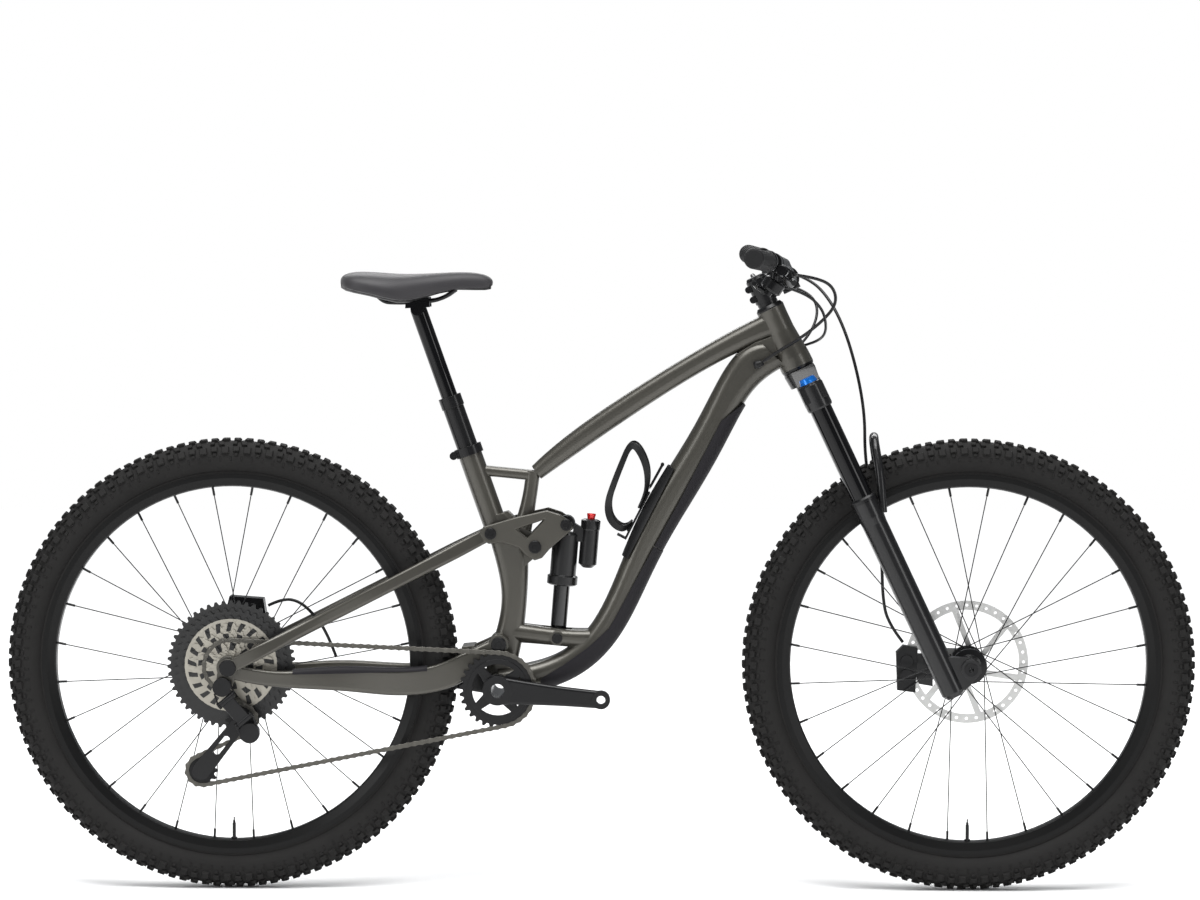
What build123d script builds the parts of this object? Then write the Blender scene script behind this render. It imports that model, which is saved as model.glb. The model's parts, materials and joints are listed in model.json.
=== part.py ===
from build123d import *
from math import atan2, cos, pi, radians, sin, sqrt, hypot
import os

# A full-suspension mountain bike, in millimetres.
# +X points forward, -Y is the drive side and +Z is up. The origin is on the ground, midway between the axles.

# ---- Driving dimensions ----
WHEELBASE = 1210.0
TYRE_RADIUS = 372.0
TYRE_WIDTH = 61.0
TYRE_WALL = 4.0
RIM_OUTER, RIM_INNER, RIM_WIDTH, RIM_WALL = 314.0, 292.0, 36.0, 1.8
SPOKE_COUNT, SPOKE_RADIUS, SPOKE_CROSS = 28, 0.9, 3
FRONT_HUB_WIDTH, REAR_HUB_WIDTH = 110.0, 148.0
FRONT_ROTOR_RADIUS, REAR_ROTOR_RADIUS, ROTOR_THICKNESS = 101.5, 90.0, 1.8
HEAD_ANGLE = 64.8
LEG_SPACING, STANCHION_RADIUS = 130.0, 18.0
BAR_WIDTH, BAR_CLAMP_RADIUS, BAR_GRIP_RADIUS = 780.0, 15.9, 11.1
CRANK_LENGTH, CRANK_TILT = 170.0, 4.5
CHAIN_PITCH = 12.7
RING_TEETH, CHAIN_COG_TEETH, PULLEY_TEETH = 30, 21, 12
COG_TEETH = (10, 12, 14, 16, 18, 21, 24, 28, 33, 39, 45, 51)
COG_PITCH = 3.65
CHAIN_LINE = -52.8
RUNNING = 0.06  # radial clearance of a running fit
SNUG = 0.1  # radial gap of a bonded or clamped fit

# ---- Places of the axles and pivots, in the side plane ----
REAR_AXLE = (-WHEELBASE / 2, TYRE_RADIUS)
FRONT_AXLE = (WHEELBASE / 2, TYRE_RADIUS)
BOTTOM_BRACKET = (-166.0, 334.0)
MAIN_PIVOT = (-165.0, 406.6)
ROCKER_PIVOT = (-105.4, 567.1)
STAY_PIVOT = (-178.4, 588.8)
SHOCK_TOP = (-54.3, 603.5)
SHOCK_BOTTOM = (-69.7, 416.0)
GUIDE_PULLEY = (-586.0, 283.0)
TENSION_PULLEY = (-652.0, 200.0)
CAGE_PIVOT = (-571.0, 264.0)
MOUNT_KNUCKLE = (-614.0, 341.0)

HEAD_TOP = Vector(279.0, 0, 956.0)
STEER_DOWN = Vector(cos(radians(HEAD_ANGLE)), 0, -sin(radians(HEAD_ANGLE)))
STEER_FRONT = Vector(sin(radians(HEAD_ANGLE)), 0, cos(radians(HEAD_ANGLE)))
HEAD_LENGTH = 104.3
SEAT_UP = Vector(-0.3346, 0, 0.9423)
SEAT_COLLAR = Vector(-241.0, 0, 794.0)
SHOCK_UP = Vector(SHOCK_TOP[0] - SHOCK_BOTTOM[0], 0, SHOCK_TOP[1] - SHOCK_BOTTOM[1]).normalized()
SHOCK_FRONT = Vector(SHOCK_UP.Z, 0, -SHOCK_UP.X)
SIDEWAYS = Vector(0, 1, 0)


def pitch_radius(teeth):
    return CHAIN_PITCH / 2 / sin(pi / teeth)


def at(place, y=0.0):
    """The point of a side-plane place at a given Y."""
    return Vector(place[0], y, place[1])


def steer(along, front=0.0, y=0.0):
    """A point measured down the steering axis from the head tube's lower end."""
    return HEAD_TOP + STEER_DOWN * (HEAD_LENGTH + along) + STEER_FRONT * front + Vector(0, y, 0)


def seat(along, back=0.0, y=0.0):
    """A point measured up the seat tube's axis from the dropper collar's lower edge."""
    return SEAT_COLLAR + SEAT_UP * along + Vector(-SEAT_UP.Z, 0, SEAT_UP.X) * back + Vector(0, y, 0)


def shock(along, front=0.0):
    """A point measured up the shock's axis from its lower eye."""
    return at(SHOCK_BOTTOM) + SHOCK_UP * along + SHOCK_FRONT * front


def plate(points, y_low, y_high, mode=Mode.ADD):
    """A flat plate with a side-plane outline, between two Y values."""
    with BuildSketch(Plane.XZ.offset(-y_high)) as outline:
        with BuildLine():
            Polyline(*points, close=True)
        make_face()
    extrude(outline.sketch, amount=y_high - y_low, mode=mode)


def turned(origin, direction, outline, mode=Mode.ADD):
    """An outline of (distance along, radius) points, turned about a line."""
    along = Vector(*direction).normalized() if isinstance(direction, tuple) else direction.normalized()
    side = Plane(origin=origin, z_dir=along).x_dir
    with BuildSketch(Plane(origin=origin, x_dir=along, z_dir=side)) as section:
        with BuildLine():
            Polyline(*outline, close=True)
        make_face()
    revolve(section.sketch, axis=Axis(origin, along), mode=mode)


def rod(start, end, radius, mode=Mode.ADD):
    """A round bar between two points."""
    length = (end - start).length
    turned(start, end - start, [(0, 0), (0, radius), (length, radius), (length, 0)], mode)


def ring(start, end, outer, inner, mode=Mode.ADD):
    """A round sleeve between two points."""
    length = (end - start).length
    turned(start, end - start, [(0, inner), (0, outer), (length, outer), (length, inner)], mode)


def lofted(stations, corner=0.42, mode=Mode.ADD):
    """A tube through (centre, direction, width along Y, depth) stations of rounded section."""
    faces = []
    for centre, direction, width, depth in stations:
        plane = Plane(origin=centre, x_dir=(0, 1, 0), z_dir=direction)
        with BuildSketch(plane) as section:
            RectangleRounded(width, depth, corner * min(width, depth))
        faces.append(section.sketch.faces()[0])
    loft(faces, mode=mode)


def hose(points, radius, mode=Mode.ADD):
    """A round cable along straight runs joined by tangent arcs as large as the runs allow."""
    spots = [Vector(*p) for p in points]
    bends = []
    for before, here, after in zip(spots, spots[1:], spots[2:]):
        turn = (here - before).get_angle(after - here)
        shorter = min((here - before).length, (after - here).length)
        bends.append(0.45 * shorter / sin(radians(turn / 2)) * cos(radians(turn / 2)))
    with BuildPart(mode=Mode.PRIVATE) as cable:
        with BuildLine() as route:
            start = spots[0]
            for before, here, after, bend in zip(spots, spots[1:], spots[2:], bends):
                back = 0.45 * min((here - before).length, (after - here).length)
                enter = here + (before - here).normalized() * back
                leave = here + (after - here).normalized() * back
                Line(start, enter)
                centre_way = ((before - here).normalized() + (after - here).normalized()).normalized()
                centre = here + centre_way * sqrt(back * back + bend * bend)
                ThreePointArc(enter, centre - centre_way * bend, leave)
                start = leave
            Line(start, spots[-1])
        with BuildSketch(Plane(origin=spots[0], z_dir=spots[1] - spots[0])) as section:
            Circle(radius)
        sweep(section.sketch, path=route.wires()[0])
    add(cable.part, mode=mode)


os.makedirs("parts", exist_ok=True)

# ================= Wheels =================


def tyre_outline(wall):
    """The tyre's section as (half width, radius) with the wall taken off."""
    middle = (TYRE_RADIUS + RIM_OUTER - 6) / 2
    tall = (TYRE_RADIUS - RIM_OUTER + 6) / 2 - wall
    wide = TYRE_WIDTH / 2 - wall
    return middle, tall, wide


def add_tyre(axle):
    """A tyre carcass with the rounded tread envelope, sitting on the rim."""
    section_plane = Plane(origin=at(axle), x_dir=(0, 1, 0), z_dir=(1, 0, 0))
    outer, inner = tyre_outline(0), tyre_outline(TYRE_WALL)
    with BuildSketch(section_plane) as section:
        with Locations((0, outer[0])):
            Ellipse(outer[2], outer[1])
        with Locations((0, inner[0])):
            Ellipse(inner[2], inner[1], mode=Mode.SUBTRACT)
        with Locations((0, RIM_OUTER / 2)):
            Rectangle(2 * TYRE_WIDTH, RIM_OUTER, mode=Mode.SUBTRACT)
    revolve(section.sketch, axis=Axis(at(axle), SIDEWAYS))


def add_rim(axle):
    """A hollow rim with a nearly flat bed and a rounded inner side."""
    section_plane = Plane(origin=at(axle), x_dir=(0, 1, 0), z_dir=(1, 0, 0))
    half = RIM_WIDTH / 2
    with BuildSketch(section_plane) as section:
        with BuildLine():
            Polyline((-half, RIM_OUTER), (half, RIM_OUTER), (half, RIM_OUTER - 8), (half - 5, RIM_INNER + 2),
                     (half - 9, RIM_INNER), (9 - half, RIM_INNER), (5 - half, RIM_INNER + 2),
                     (-half, RIM_OUTER - 8), close=True)
        make_face()
        offset(amount=-RIM_WALL, mode=Mode.SUBTRACT, kind=Kind.INTERSECTION)
    revolve(section.sketch, axis=Axis(at(axle), SIDEWAYS))


def spoke_planes(axle, flange_y, flange_radius, first):
    """Planes at the flange holes, each aimed along its spoke, and the spoke's length."""
    planes = []
    length = 0.0
    per_side = SPOKE_COUNT // 2
    for index in range(per_side):
        lean = 1 if index % 2 else -1
        turn = first + index * 2 * pi / per_side
        hole_turn = turn - lean * (SPOKE_CROSS - 0.5) * 2 * pi / per_side
        side = 1 if flange_y > 0 else -1
        hole_y = flange_y + side * lean * 2.3
        hole = Vector(axle[0] + flange_radius * cos(hole_turn), hole_y,
                      axle[1] + flange_radius * sin(hole_turn))
        end = Vector(axle[0] + (RIM_INNER + 1) * cos(turn), side * 3.0, axle[1] + (RIM_INNER + 1) * sin(turn))
        planes.append((hole, end))
        length = (end - hole).length
    return planes, length


def add_spokes(axle, right_y, left_y, flange_radius):
    spacing = 2 * pi / SPOKE_COUNT
    bottom = -pi / 2 + spacing / 2
    for flange_y, first in ((right_y, bottom), (left_y, bottom + spacing)):
        ends, length = spoke_planes(axle, flange_y, flange_radius, first)
        planes = [Plane(origin=hole, z_dir=end - hole) for hole, end in ends]
        with BuildSketch(*planes) as sections:
            Circle(SPOKE_RADIUS)
        extrude(sections.sketch, amount=length)
        nipples = [Plane(origin=end + (hole - end).normalized() * 15, z_dir=end - hole) for hole, end in ends]
        with BuildSketch(*nipples) as sleeves:
            Circle(2.0)
        extrude(sleeves.sketch, amount=15)


def add_rotor(axle, y, radius):
    """A brake rotor with a drilled track on six swept arms."""
    track = 15.0
    inner = radius - track
    face = Plane(origin=at(axle, y + ROTOR_THICKNESS / 2), x_dir=(1, 0, 0), z_dir=(0, -1, 0))
    with BuildSketch(face) as disc:
        Circle(radius)
        Circle(inner, mode=Mode.SUBTRACT)
        with PolarLocations(radius - track / 2, 36):
            Circle(2.6, mode=Mode.SUBTRACT)
        Circle(22)
        for arm in range(6):
            turn = arm * pi / 3
            corners = [(18, turn - 0.39), (18, turn + 0.39), (inner + 2, turn + 0.81),
                       (inner + 2, turn + 0.69)]
            with BuildLine():
                Polyline(*[(r * cos(a), r * sin(a)) for r, a in corners], close=True)
            make_face()
        Circle(17.2, mode=Mode.SUBTRACT)
    extrude(disc.sketch, amount=ROTOR_THICKNESS)


FRONT_FLANGE, REAR_FLANGE = 29.0, 29.0
FRONT_RIGHT_Y, FRONT_LEFT_Y = -33.0, 22.0
REAR_RIGHT_Y, REAR_LEFT_Y = -21.0, 33.0
FRONT_ROTOR_Y, REAR_ROTOR_Y = 39.0, 58.0

with BuildPart() as front_tyre:
    add_tyre(FRONT_AXLE)
front_tyre.part.label = "front_tyre"
export_step(front_tyre.part, "parts/front_tyre.step")

with BuildPart() as rear_tyre:
    add_tyre(REAR_AXLE)
rear_tyre.part.label = "rear_tyre"
export_step(rear_tyre.part, "parts/rear_tyre.step")

with BuildPart() as front_rim:
    add_rim(FRONT_AXLE)
front_rim.part.label = "front_rim"
export_step(front_rim.part, "parts/front_rim.step")

with BuildPart() as rear_rim:
    add_rim(REAR_AXLE)
rear_rim.part.label = "rear_rim"
export_step(rear_rim.part, "parts/rear_rim.step")

with BuildPart() as front_spokes:
    add_spokes(FRONT_AXLE, FRONT_RIGHT_Y, FRONT_LEFT_Y, FRONT_FLANGE - 3)
front_spokes.part.label = "front_spokes"
export_step(front_spokes.part, "parts/front_spokes.step")

with BuildPart() as rear_spokes:
    add_spokes(REAR_AXLE, REAR_RIGHT_Y, REAR_LEFT_Y, REAR_FLANGE - 3)
rear_spokes.part.label = "rear_spokes"
export_step(rear_spokes.part, "parts/rear_spokes.step")

FRONT_AXLE_RADIUS, REAR_AXLE_RADIUS = 7.5, 6.0
FRONT_HUB_END = FRONT_HUB_WIDTH / 2 - 0.3
REAR_HUB_END = REAR_HUB_WIDTH / 2 - 0.3
FREEHUB_Y, FREEHUB_RADIUS = -26.0, 10.0

with BuildPart() as front_hub:
    bore = FRONT_AXLE_RADIUS + RUNNING
    turned(at(FRONT_AXLE), SIDEWAYS, [
        (-FRONT_HUB_END, bore), (-FRONT_HUB_END, 16), (-46, 16), (-44, 20), (FRONT_RIGHT_Y - 5, 20),
        (FRONT_RIGHT_Y - 4, FRONT_FLANGE), (FRONT_RIGHT_Y + 4, FRONT_FLANGE), (FRONT_RIGHT_Y + 6, 17),
        (0, 14), (FRONT_LEFT_Y - 6, 17), (FRONT_LEFT_Y - 4, FRONT_FLANGE), (FRONT_LEFT_Y + 4, FRONT_FLANGE),
        (FRONT_LEFT_Y + 6, 21), (FRONT_ROTOR_Y - 2, 21), (FRONT_ROTOR_Y - 2, 17), (FRONT_ROTOR_Y + 4, 17),
        (FRONT_ROTOR_Y + 4, 14), (FRONT_HUB_END, 14), (FRONT_HUB_END, bore)])
front_hub.part.label = "front_hub"
export_step(front_hub.part, "parts/front_hub.step")

with BuildPart() as rear_hub:
    bore = REAR_AXLE_RADIUS + RUNNING
    turned(at(REAR_AXLE), SIDEWAYS, [
        (-REAR_HUB_END, bore), (-REAR_HUB_END, FREEHUB_RADIUS), (FREEHUB_Y, FREEHUB_RADIUS), (FREEHUB_Y, 21),
        (REAR_RIGHT_Y - 4, 21), (REAR_RIGHT_Y - 4, REAR_FLANGE), (REAR_RIGHT_Y + 4, REAR_FLANGE),
        (REAR_RIGHT_Y + 7, 18), (6, 15), (REAR_LEFT_Y - 7, 18), (REAR_LEFT_Y - 4, REAR_FLANGE),
        (REAR_LEFT_Y + 4, REAR_FLANGE), (REAR_LEFT_Y + 6, 21), (REAR_ROTOR_Y - 2, 21), (REAR_ROTOR_Y - 2, 17),
        (REAR_ROTOR_Y + 4, 17), (REAR_ROTOR_Y + 4, 13), (REAR_HUB_END, 13), (REAR_HUB_END, bore)])
rear_hub.part.label = "rear_hub"
export_step(rear_hub.part, "parts/rear_hub.step")

with BuildPart() as front_rotor:
    add_rotor(FRONT_AXLE, FRONT_ROTOR_Y, FRONT_ROTOR_RADIUS)
front_rotor.part.label = "front_rotor"
export_step(front_rotor.part, "parts/front_rotor.step")

with BuildPart() as rear_rotor:
    add_rotor(REAR_AXLE, REAR_ROTOR_Y, REAR_ROTOR_RADIUS)
rear_rotor.part.label = "rear_rotor"
export_step(rear_rotor.part, "parts/rear_rotor.step")

# ================= Main frame =================
DOWN_TUBE = [  # centre x, centre z, direction x, direction z, width, depth
    (283, 882, -0.70, -0.71, 42, 56), (226, 837, -0.62, -0.78, 46, 58), (200, 792, -0.44, -0.90, 50, 54),
    (110, 635, -0.47, -0.88, 56, 57), (43, 497, -0.48, -0.88, 56, 47), (-8, 410, -0.66, -0.75, 60, 44),
    (-78, 362, -0.95, -0.31, 68, 42), (-166, 344, -1, -0.05, 72, 40)]
TOP_TUBE = [
    (-104, 687, 0.80, 0.60, 26, 26), (43, 795, 0.82, 0.57, 34, 35), (144, 859, 0.86, 0.51, 36, 34),
    (217, 900, 0.87, 0.49, 36, 36), (276, 928, 0.90, 0.43, 34, 40)]
LOWER_SEAT_TUBE = [
    (-170, 618, 0.30, -0.95, 36, 42), (-146, 555, 0.25, -0.97, 35, 56), (-141, 480, 0, -1, 34, 42),
    (-147, 430, -0.25, -0.97, 34, 44), (-158, 385, -0.25, -0.97, 34, 48), (-166, 340, 0, -1, 40, 44)]
SEAT_BRACE = [(-190, 690, 1, -0.15, 22, 17), (-108, 682, 1, -0.1, 22, 17)]
DOWN_STRUT = [(-110, 690, -0.08, -1, 24, 24), (-117, 640, -0.18, -0.98, 26, 24),
              (-132, 580, -0.25, -0.97, 30, 34)]
SHOCK_MOUNT = [(-150, 424, 1, -0.1, 33, 34), (-112, 421, 1, -0.08, 42, 31), (-80, 418, 1, -0.05, 52, 29),
               (-2, 414, 1, 0, 50, 34)]
BB_SHELL_HALF, BB_SHELL_RADIUS, BB_BORE_RADIUS = 36.5, 24.0, 20.0
SEAT_TUBE_RADIUS, DROPPER_RADIUS, DROPPER_BORE, POST_RADIUS = 19.5, 17.4, 13.56, 13.5
SEAT_CLAMP_ALONG = -68.0
PIVOT_BORE, ROCKER_HALF = 6.0, 30.5
HEAD_GUSSET_HALF = 16.0


def stations(rows):
    return [(Vector(x, 0, z), Vector(dx, 0, dz), width, depth) for x, z, dx, dz, width, depth in rows]


with BuildPart() as front_frame:
    turned(HEAD_TOP, STEER_DOWN, [(0, 0), (0, 23.5), (14, 23), (40, 23), (HEAD_LENGTH - 18, 27.5),
                                  (HEAD_LENGTH, 28), (HEAD_LENGTH, 0)])
    lofted(stations(DOWN_TUBE))
    lofted(stations(TOP_TUBE))
    plate([(222, 881), (254, 901), (290, 914), (300, 884), (262, 868), (235, 870)],
          -HEAD_GUSSET_HALF, HEAD_GUSSET_HALF)
    lofted(stations(LOWER_SEAT_TUBE))
    rod(seat(SEAT_CLAMP_ALONG), seat(-205), SEAT_TUBE_RADIUS)
    lofted(stations(SEAT_BRACE))
    lofted(stations(DOWN_STRUT))
    lofted(stations(SHOCK_MOUNT))
    rod(at(BOTTOM_BRACKET, -BB_SHELL_HALF), at(BOTTOM_BRACKET, BB_SHELL_HALF), BB_SHELL_RADIUS)
    rod(at(MAIN_PIVOT, -17), at(MAIN_PIVOT, 17), 17)
    rod(at(ROCKER_PIVOT, -ROCKER_HALF), at(ROCKER_PIVOT, ROCKER_HALF), 13)
    plate([(-140, 604), (-104, 584), (-90, 567), (-104, 550), (-140, 520)], -15, 15)
    rod(at(SHOCK_BOTTOM, -27), at(SHOCK_BOTTOM, 27), 12)
    plate([(-94, 395), (-46, 395), (-46, 450), (-94, 450)], -12.8, 12.8, mode=Mode.SUBTRACT)
    rod(at(BOTTOM_BRACKET, -60), at(BOTTOM_BRACKET, 60), BB_BORE_RADIUS, mode=Mode.SUBTRACT)
    rod(at(MAIN_PIVOT, -50), at(MAIN_PIVOT, 50), PIVOT_BORE, mode=Mode.SUBTRACT)
    rod(at(ROCKER_PIVOT, -50), at(ROCKER_PIVOT, 50), PIVOT_BORE, mode=Mode.SUBTRACT)
    rod(at(SHOCK_BOTTOM, -50), at(SHOCK_BOTTOM, 50), 5.0, mode=Mode.SUBTRACT)
    rod(HEAD_TOP - STEER_DOWN * 5, HEAD_TOP + STEER_DOWN * (HEAD_LENGTH + 5), 19.5, mode=Mode.SUBTRACT)
    rod(seat(20), seat(-194.0), DROPPER_RADIUS, mode=Mode.SUBTRACT)
front_frame.part.label = "front_frame"
export_step(front_frame.part, "parts/front_frame.step")

GUARD_GROW, GUARD_GAP, DOOR_GAP, DOOR_THICKNESS = 4.0, 0.4, 1.4, 2.4


def grown(rows, amount):
    return [(x, z, dx, dz, width + 2 * amount, depth + 2 * amount) for x, z, dx, dz, width, depth in rows]


GUARD_UPPER = [(236, 802), (199, 773), (134, 648), (90, 568), (140, 537), (300, 700)]
GUARD_LOWER = [(89, 567), (47, 489), (16, 433), (-18, 402), (-60, 372), (-96, 350), (-96, 280), (70, 280),
               (141, 536)]
with BuildPart() as down_tube_guard:
    for region, grow in ((GUARD_UPPER, GUARD_GROW), (GUARD_LOWER, GUARD_GROW + 0.8)):
        with BuildPart(mode=Mode.PRIVATE) as guard_piece:
            lofted(stations(grown(DOWN_TUBE, grow)))
            with BuildPart(mode=Mode.PRIVATE) as guarded_tube:
                lofted(stations(grown(DOWN_TUBE, GUARD_GAP)))
            add(guarded_tube.part, mode=Mode.SUBTRACT)
            plate(region, -60, 60, mode=Mode.INTERSECT)
        add(guard_piece.part)
down_tube_guard.part.label = "down_tube_guard"
export_step(down_tube_guard.part, "parts/down_tube_guard.step")

with BuildPart() as dropper_outer:
    ring(seat(-193), seat(0), DROPPER_RADIUS, DROPPER_BORE)
    ring(seat(0), seat(19), 19, DROPPER_BORE)
dropper_outer.part.label = "dropper_outer"
export_step(dropper_outer.part, "parts/dropper_outer.step")

with BuildPart() as frame_hardware:
    rod(at(ROCKER_PIVOT, -40.6), at(ROCKER_PIVOT, 40.6), PIVOT_BORE - RUNNING)
    rod(at(MAIN_PIVOT, -40.6), at(MAIN_PIVOT, 40.6), PIVOT_BORE - RUNNING)
    rod(at(SHOCK_BOTTOM, -28.4), at(SHOCK_BOTTOM, 28.4), 5 - RUNNING)
    for side in (-1, 1):
        rod(at(ROCKER_PIVOT, side * 40.6), at(ROCKER_PIVOT, side * 43.5), 10.5)
        rod(at(MAIN_PIVOT, side * 40.6), at(MAIN_PIVOT, side * 43.5), 12.5)
        rod(at(SHOCK_BOTTOM, side * 28.4), at(SHOCK_BOTTOM, side * 31.2), 8.5)
        ring(at(BOTTOM_BRACKET, side * 22), at(BOTTOM_BRACKET, side * BB_SHELL_HALF), BB_BORE_RADIUS - SNUG,
             15 + RUNNING)
        ring(at(BOTTOM_BRACKET, side * BB_SHELL_HALF), at(BOTTOM_BRACKET, side * 45), 23, 15 + RUNNING)
    turned(HEAD_TOP, STEER_DOWN, [(-7, 14.3 + RUNNING), (-7, 20), (-2, 23.5), (0, 23.5), (0, 19.4), (9, 19.4),
                                  (9, 14.3 + RUNNING)])
    turned(HEAD_TOP, STEER_DOWN, [(HEAD_LENGTH - 9, 14.3 + RUNNING), (HEAD_LENGTH - 9, 19.4),
                                  (HEAD_LENGTH, 19.4), (HEAD_LENGTH, 28), (HEAD_LENGTH + 4, 27),
                                  (HEAD_LENGTH + 4, 14.3 + RUNNING)])
    ring(seat(SEAT_CLAMP_ALONG - 15), seat(SEAT_CLAMP_ALONG), 23.0, SEAT_TUBE_RADIUS + SNUG)
    lobe = seat(SEAT_CLAMP_ALONG - 7.5, 26)
    rod(lobe - SIDEWAYS * 10, lobe + SIDEWAYS * 10, 6.5)
frame_hardware.part.label = "frame_hardware"
export_step(frame_hardware.part, "parts/frame_hardware.step")

# ================= Storage door, latch and bottle cage =================
DOOR_TOP, DOOR_LOW = Vector(112, 0, 700), Vector(36, 0, 552)
DOOR_ALONG = (DOOR_LOW - DOOR_TOP).normalized()
DOOR_OUT = Vector(DOOR_ALONG.Z, 0, -DOOR_ALONG.X)
BOTTLE_RADIUS, CAGE_WALL = 37.0, 2.6


def door(along, out, y=0.0):
    return DOOR_TOP + DOOR_ALONG * along + DOOR_OUT * out + Vector(0, y, 0)


def side_points(*points):
    return [(p.X, p.Z) for p in points]


DOOR_LENGTH = (DOOR_LOW - DOOR_TOP).length
with BuildPart() as storage_door:
    lofted(stations(grown(DOWN_TUBE, DOOR_THICKNESS + DOOR_GAP)))
    with BuildPart(mode=Mode.PRIVATE) as door_inside:
        lofted(stations(grown(DOWN_TUBE, DOOR_GAP)))
    add(door_inside.part, mode=Mode.SUBTRACT)
    plate(side_points(door(0, -11), door(0, 20), door(DOOR_LENGTH, 20), door(DOOR_LENGTH, -11)), -60, 60,
          mode=Mode.INTERSECT)
storage_door.part.label = "storage_door"
export_step(storage_door.part, "parts/storage_door.step")

LATCH_PIVOT = door(4, 8.5)
with BuildPart() as storage_latch:
    rod(LATCH_PIVOT - SIDEWAYS * 8, LATCH_PIVOT + SIDEWAYS * 8, 3)
    plate(side_points(door(4, 6.2), door(4, 10.5), door(44, 11.5), door(50, 9), door(44, 7.5)), -8, 8)
storage_latch.part.label = "storage_latch"
export_step(storage_latch.part, "parts/storage_latch.step")

CAGE_FROM, CAGE_TO, BASE_OUT, STOP_OUT = 56.0, 138.0, 5.2, 22.0
with BuildPart() as bottle_cage:
    axis_out = BASE_OUT + 3 + BOTTLE_RADIUS
    for start in (CAGE_FROM, CAGE_TO - 14):
        ring(door(start, axis_out), door(start + 14, axis_out), BOTTLE_RADIUS + CAGE_WALL, BOTTLE_RADIUS)
    plate(side_points(door(40, axis_out + 22), door(160, axis_out + 22), door(160, axis_out + 60),
                      door(40, axis_out + 60)), -60, 60, mode=Mode.SUBTRACT)
    plate(side_points(door(CAGE_FROM, BASE_OUT), door(CAGE_FROM, BASE_OUT + 3.4),
                      door(CAGE_TO, BASE_OUT + 3.4), door(CAGE_TO, BASE_OUT)), -11, 11)
    plate(side_points(door(CAGE_TO, BASE_OUT), door(CAGE_TO, STOP_OUT), door(CAGE_TO + 3, STOP_OUT),
                      door(CAGE_TO + 3, BASE_OUT)), -12, 12)
bottle_cage.part.label = "bottle_cage"
export_step(bottle_cage.part, "parts/bottle_cage.step")

# ================= Chainstays and rear axle =================
CHAINSTAY = [  # x, y, z, direction x, direction z, width, depth
    (-600, 78, 364, 1, -0.15, 7.4, 22), (-560, 76, 357, 1, -0.12, 10, 25), (-510, 70, 352, 1, -0.05, 14, 28),
    (-400, 58, 350, 1, 0, 16, 40), (-275, 43.5, 350, 1, 0.05, 12, 44), (-225, 41.5, 369, 0.85, 0.5, 11, 42),
    (-185, 33, 395, 0.8, 0.6, 17, 30), (-165, 30, 406.6, 0.9, 0.4, 19, 26)]
DROPOUT_IN, DROPOUT_OUT, STAY_EYE_OUT = 74.0, 82.0, 89.2
SWINGARM_INNER, SWINGARM_OUTER = 18.0, 40.0
CALIPER_SLOT = 1.7


def side_stations(rows, side, growth=0.0):
    return [(Vector(x, side * y, z), Vector(dx, 0, dz), width + 2 * growth, depth + 2 * growth)
            for x, y, z, dx, dz, width, depth in rows]


with BuildPart() as chainstays:
    for side in (-1, 1):
        lofted(side_stations(CHAINSTAY, side))
        rod(at(REAR_AXLE, side * DROPOUT_IN), at(REAR_AXLE, side * DROPOUT_OUT), 19)
        rod(at(MAIN_PIVOT, side * SWINGARM_INNER), at(MAIN_PIVOT, side * SWINGARM_OUTER), 16)
    plate([(-227, 380), (-206, 384), (-205, 404), (-226, 402)], -34, 34)
    plate([(-622, 368), (-594, 356), (-602, 328), (-627, 330)], -DROPOUT_OUT, -DROPOUT_IN - 1)
    plate([(-623, 372), (-594, 384), (-576, 446), (-622, 446)], DROPOUT_IN, DROPOUT_OUT - 1)
    rod(at(MAIN_PIVOT, -50), at(MAIN_PIVOT, 50), PIVOT_BORE + RUNNING, mode=Mode.SUBTRACT)
    rod(at(REAR_AXLE, -95), at(REAR_AXLE, 95), REAR_AXLE_RADIUS, mode=Mode.SUBTRACT)
chainstays.part.label = "chainstays"
export_step(chainstays.part, "parts/chainstays.step")

with BuildPart() as chainstay_guard:
    lofted(side_stations(CHAINSTAY, -1, 2.6))
    with BuildPart(mode=Mode.PRIVATE) as guarded_stay:
        lofted(side_stations(CHAINSTAY, -1, GUARD_GAP))
    add(guarded_stay.part, mode=Mode.SUBTRACT)
    plate([(-500, 361), (-400, 362), (-282, 364), (-282, 400), (-500, 400)], -90, -20, mode=Mode.INTERSECT)
chainstay_guard.part.label = "chainstay_guard"
export_step(chainstay_guard.part, "parts/chainstay_guard.step")

PIVOT_SLEEVE = 9.5
with BuildPart() as rear_axle:
    turned(at(REAR_AXLE, -92.5), SIDEWAYS, [
        (0, 0), (0, 13), (3, 14), (3, PIVOT_SLEEVE), (10.5, PIVOT_SLEEVE), (10.5, REAR_AXLE_RADIUS),
        (174.5, REAR_AXLE_RADIUS), (174.5, PIVOT_SLEEVE), (182, PIVOT_SLEEVE), (182, 14), (185, 13), (185, 0)])
rear_axle.part.label = "rear_axle"
export_step(rear_axle.part, "parts/rear_axle.step")

with BuildPart() as rear_caliper:
    plate([(-626, 439), (-554, 437), (-560, 474), (-616, 478)], 44, 74)
    rod(at((-603, 456), 40), at((-603, 456), 44), 13)
    rod(at((-578, 456), 40), at((-578, 456), 44), 10)
    rod(at(REAR_AXLE, REAR_ROTOR_Y - CALIPER_SLOT), at(REAR_AXLE, REAR_ROTOR_Y + CALIPER_SLOT),
        REAR_ROTOR_RADIUS + 3, mode=Mode.SUBTRACT)
rear_caliper.part.label = "rear_caliper"
export_step(rear_caliper.part, "parts/rear_caliper.step")

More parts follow.
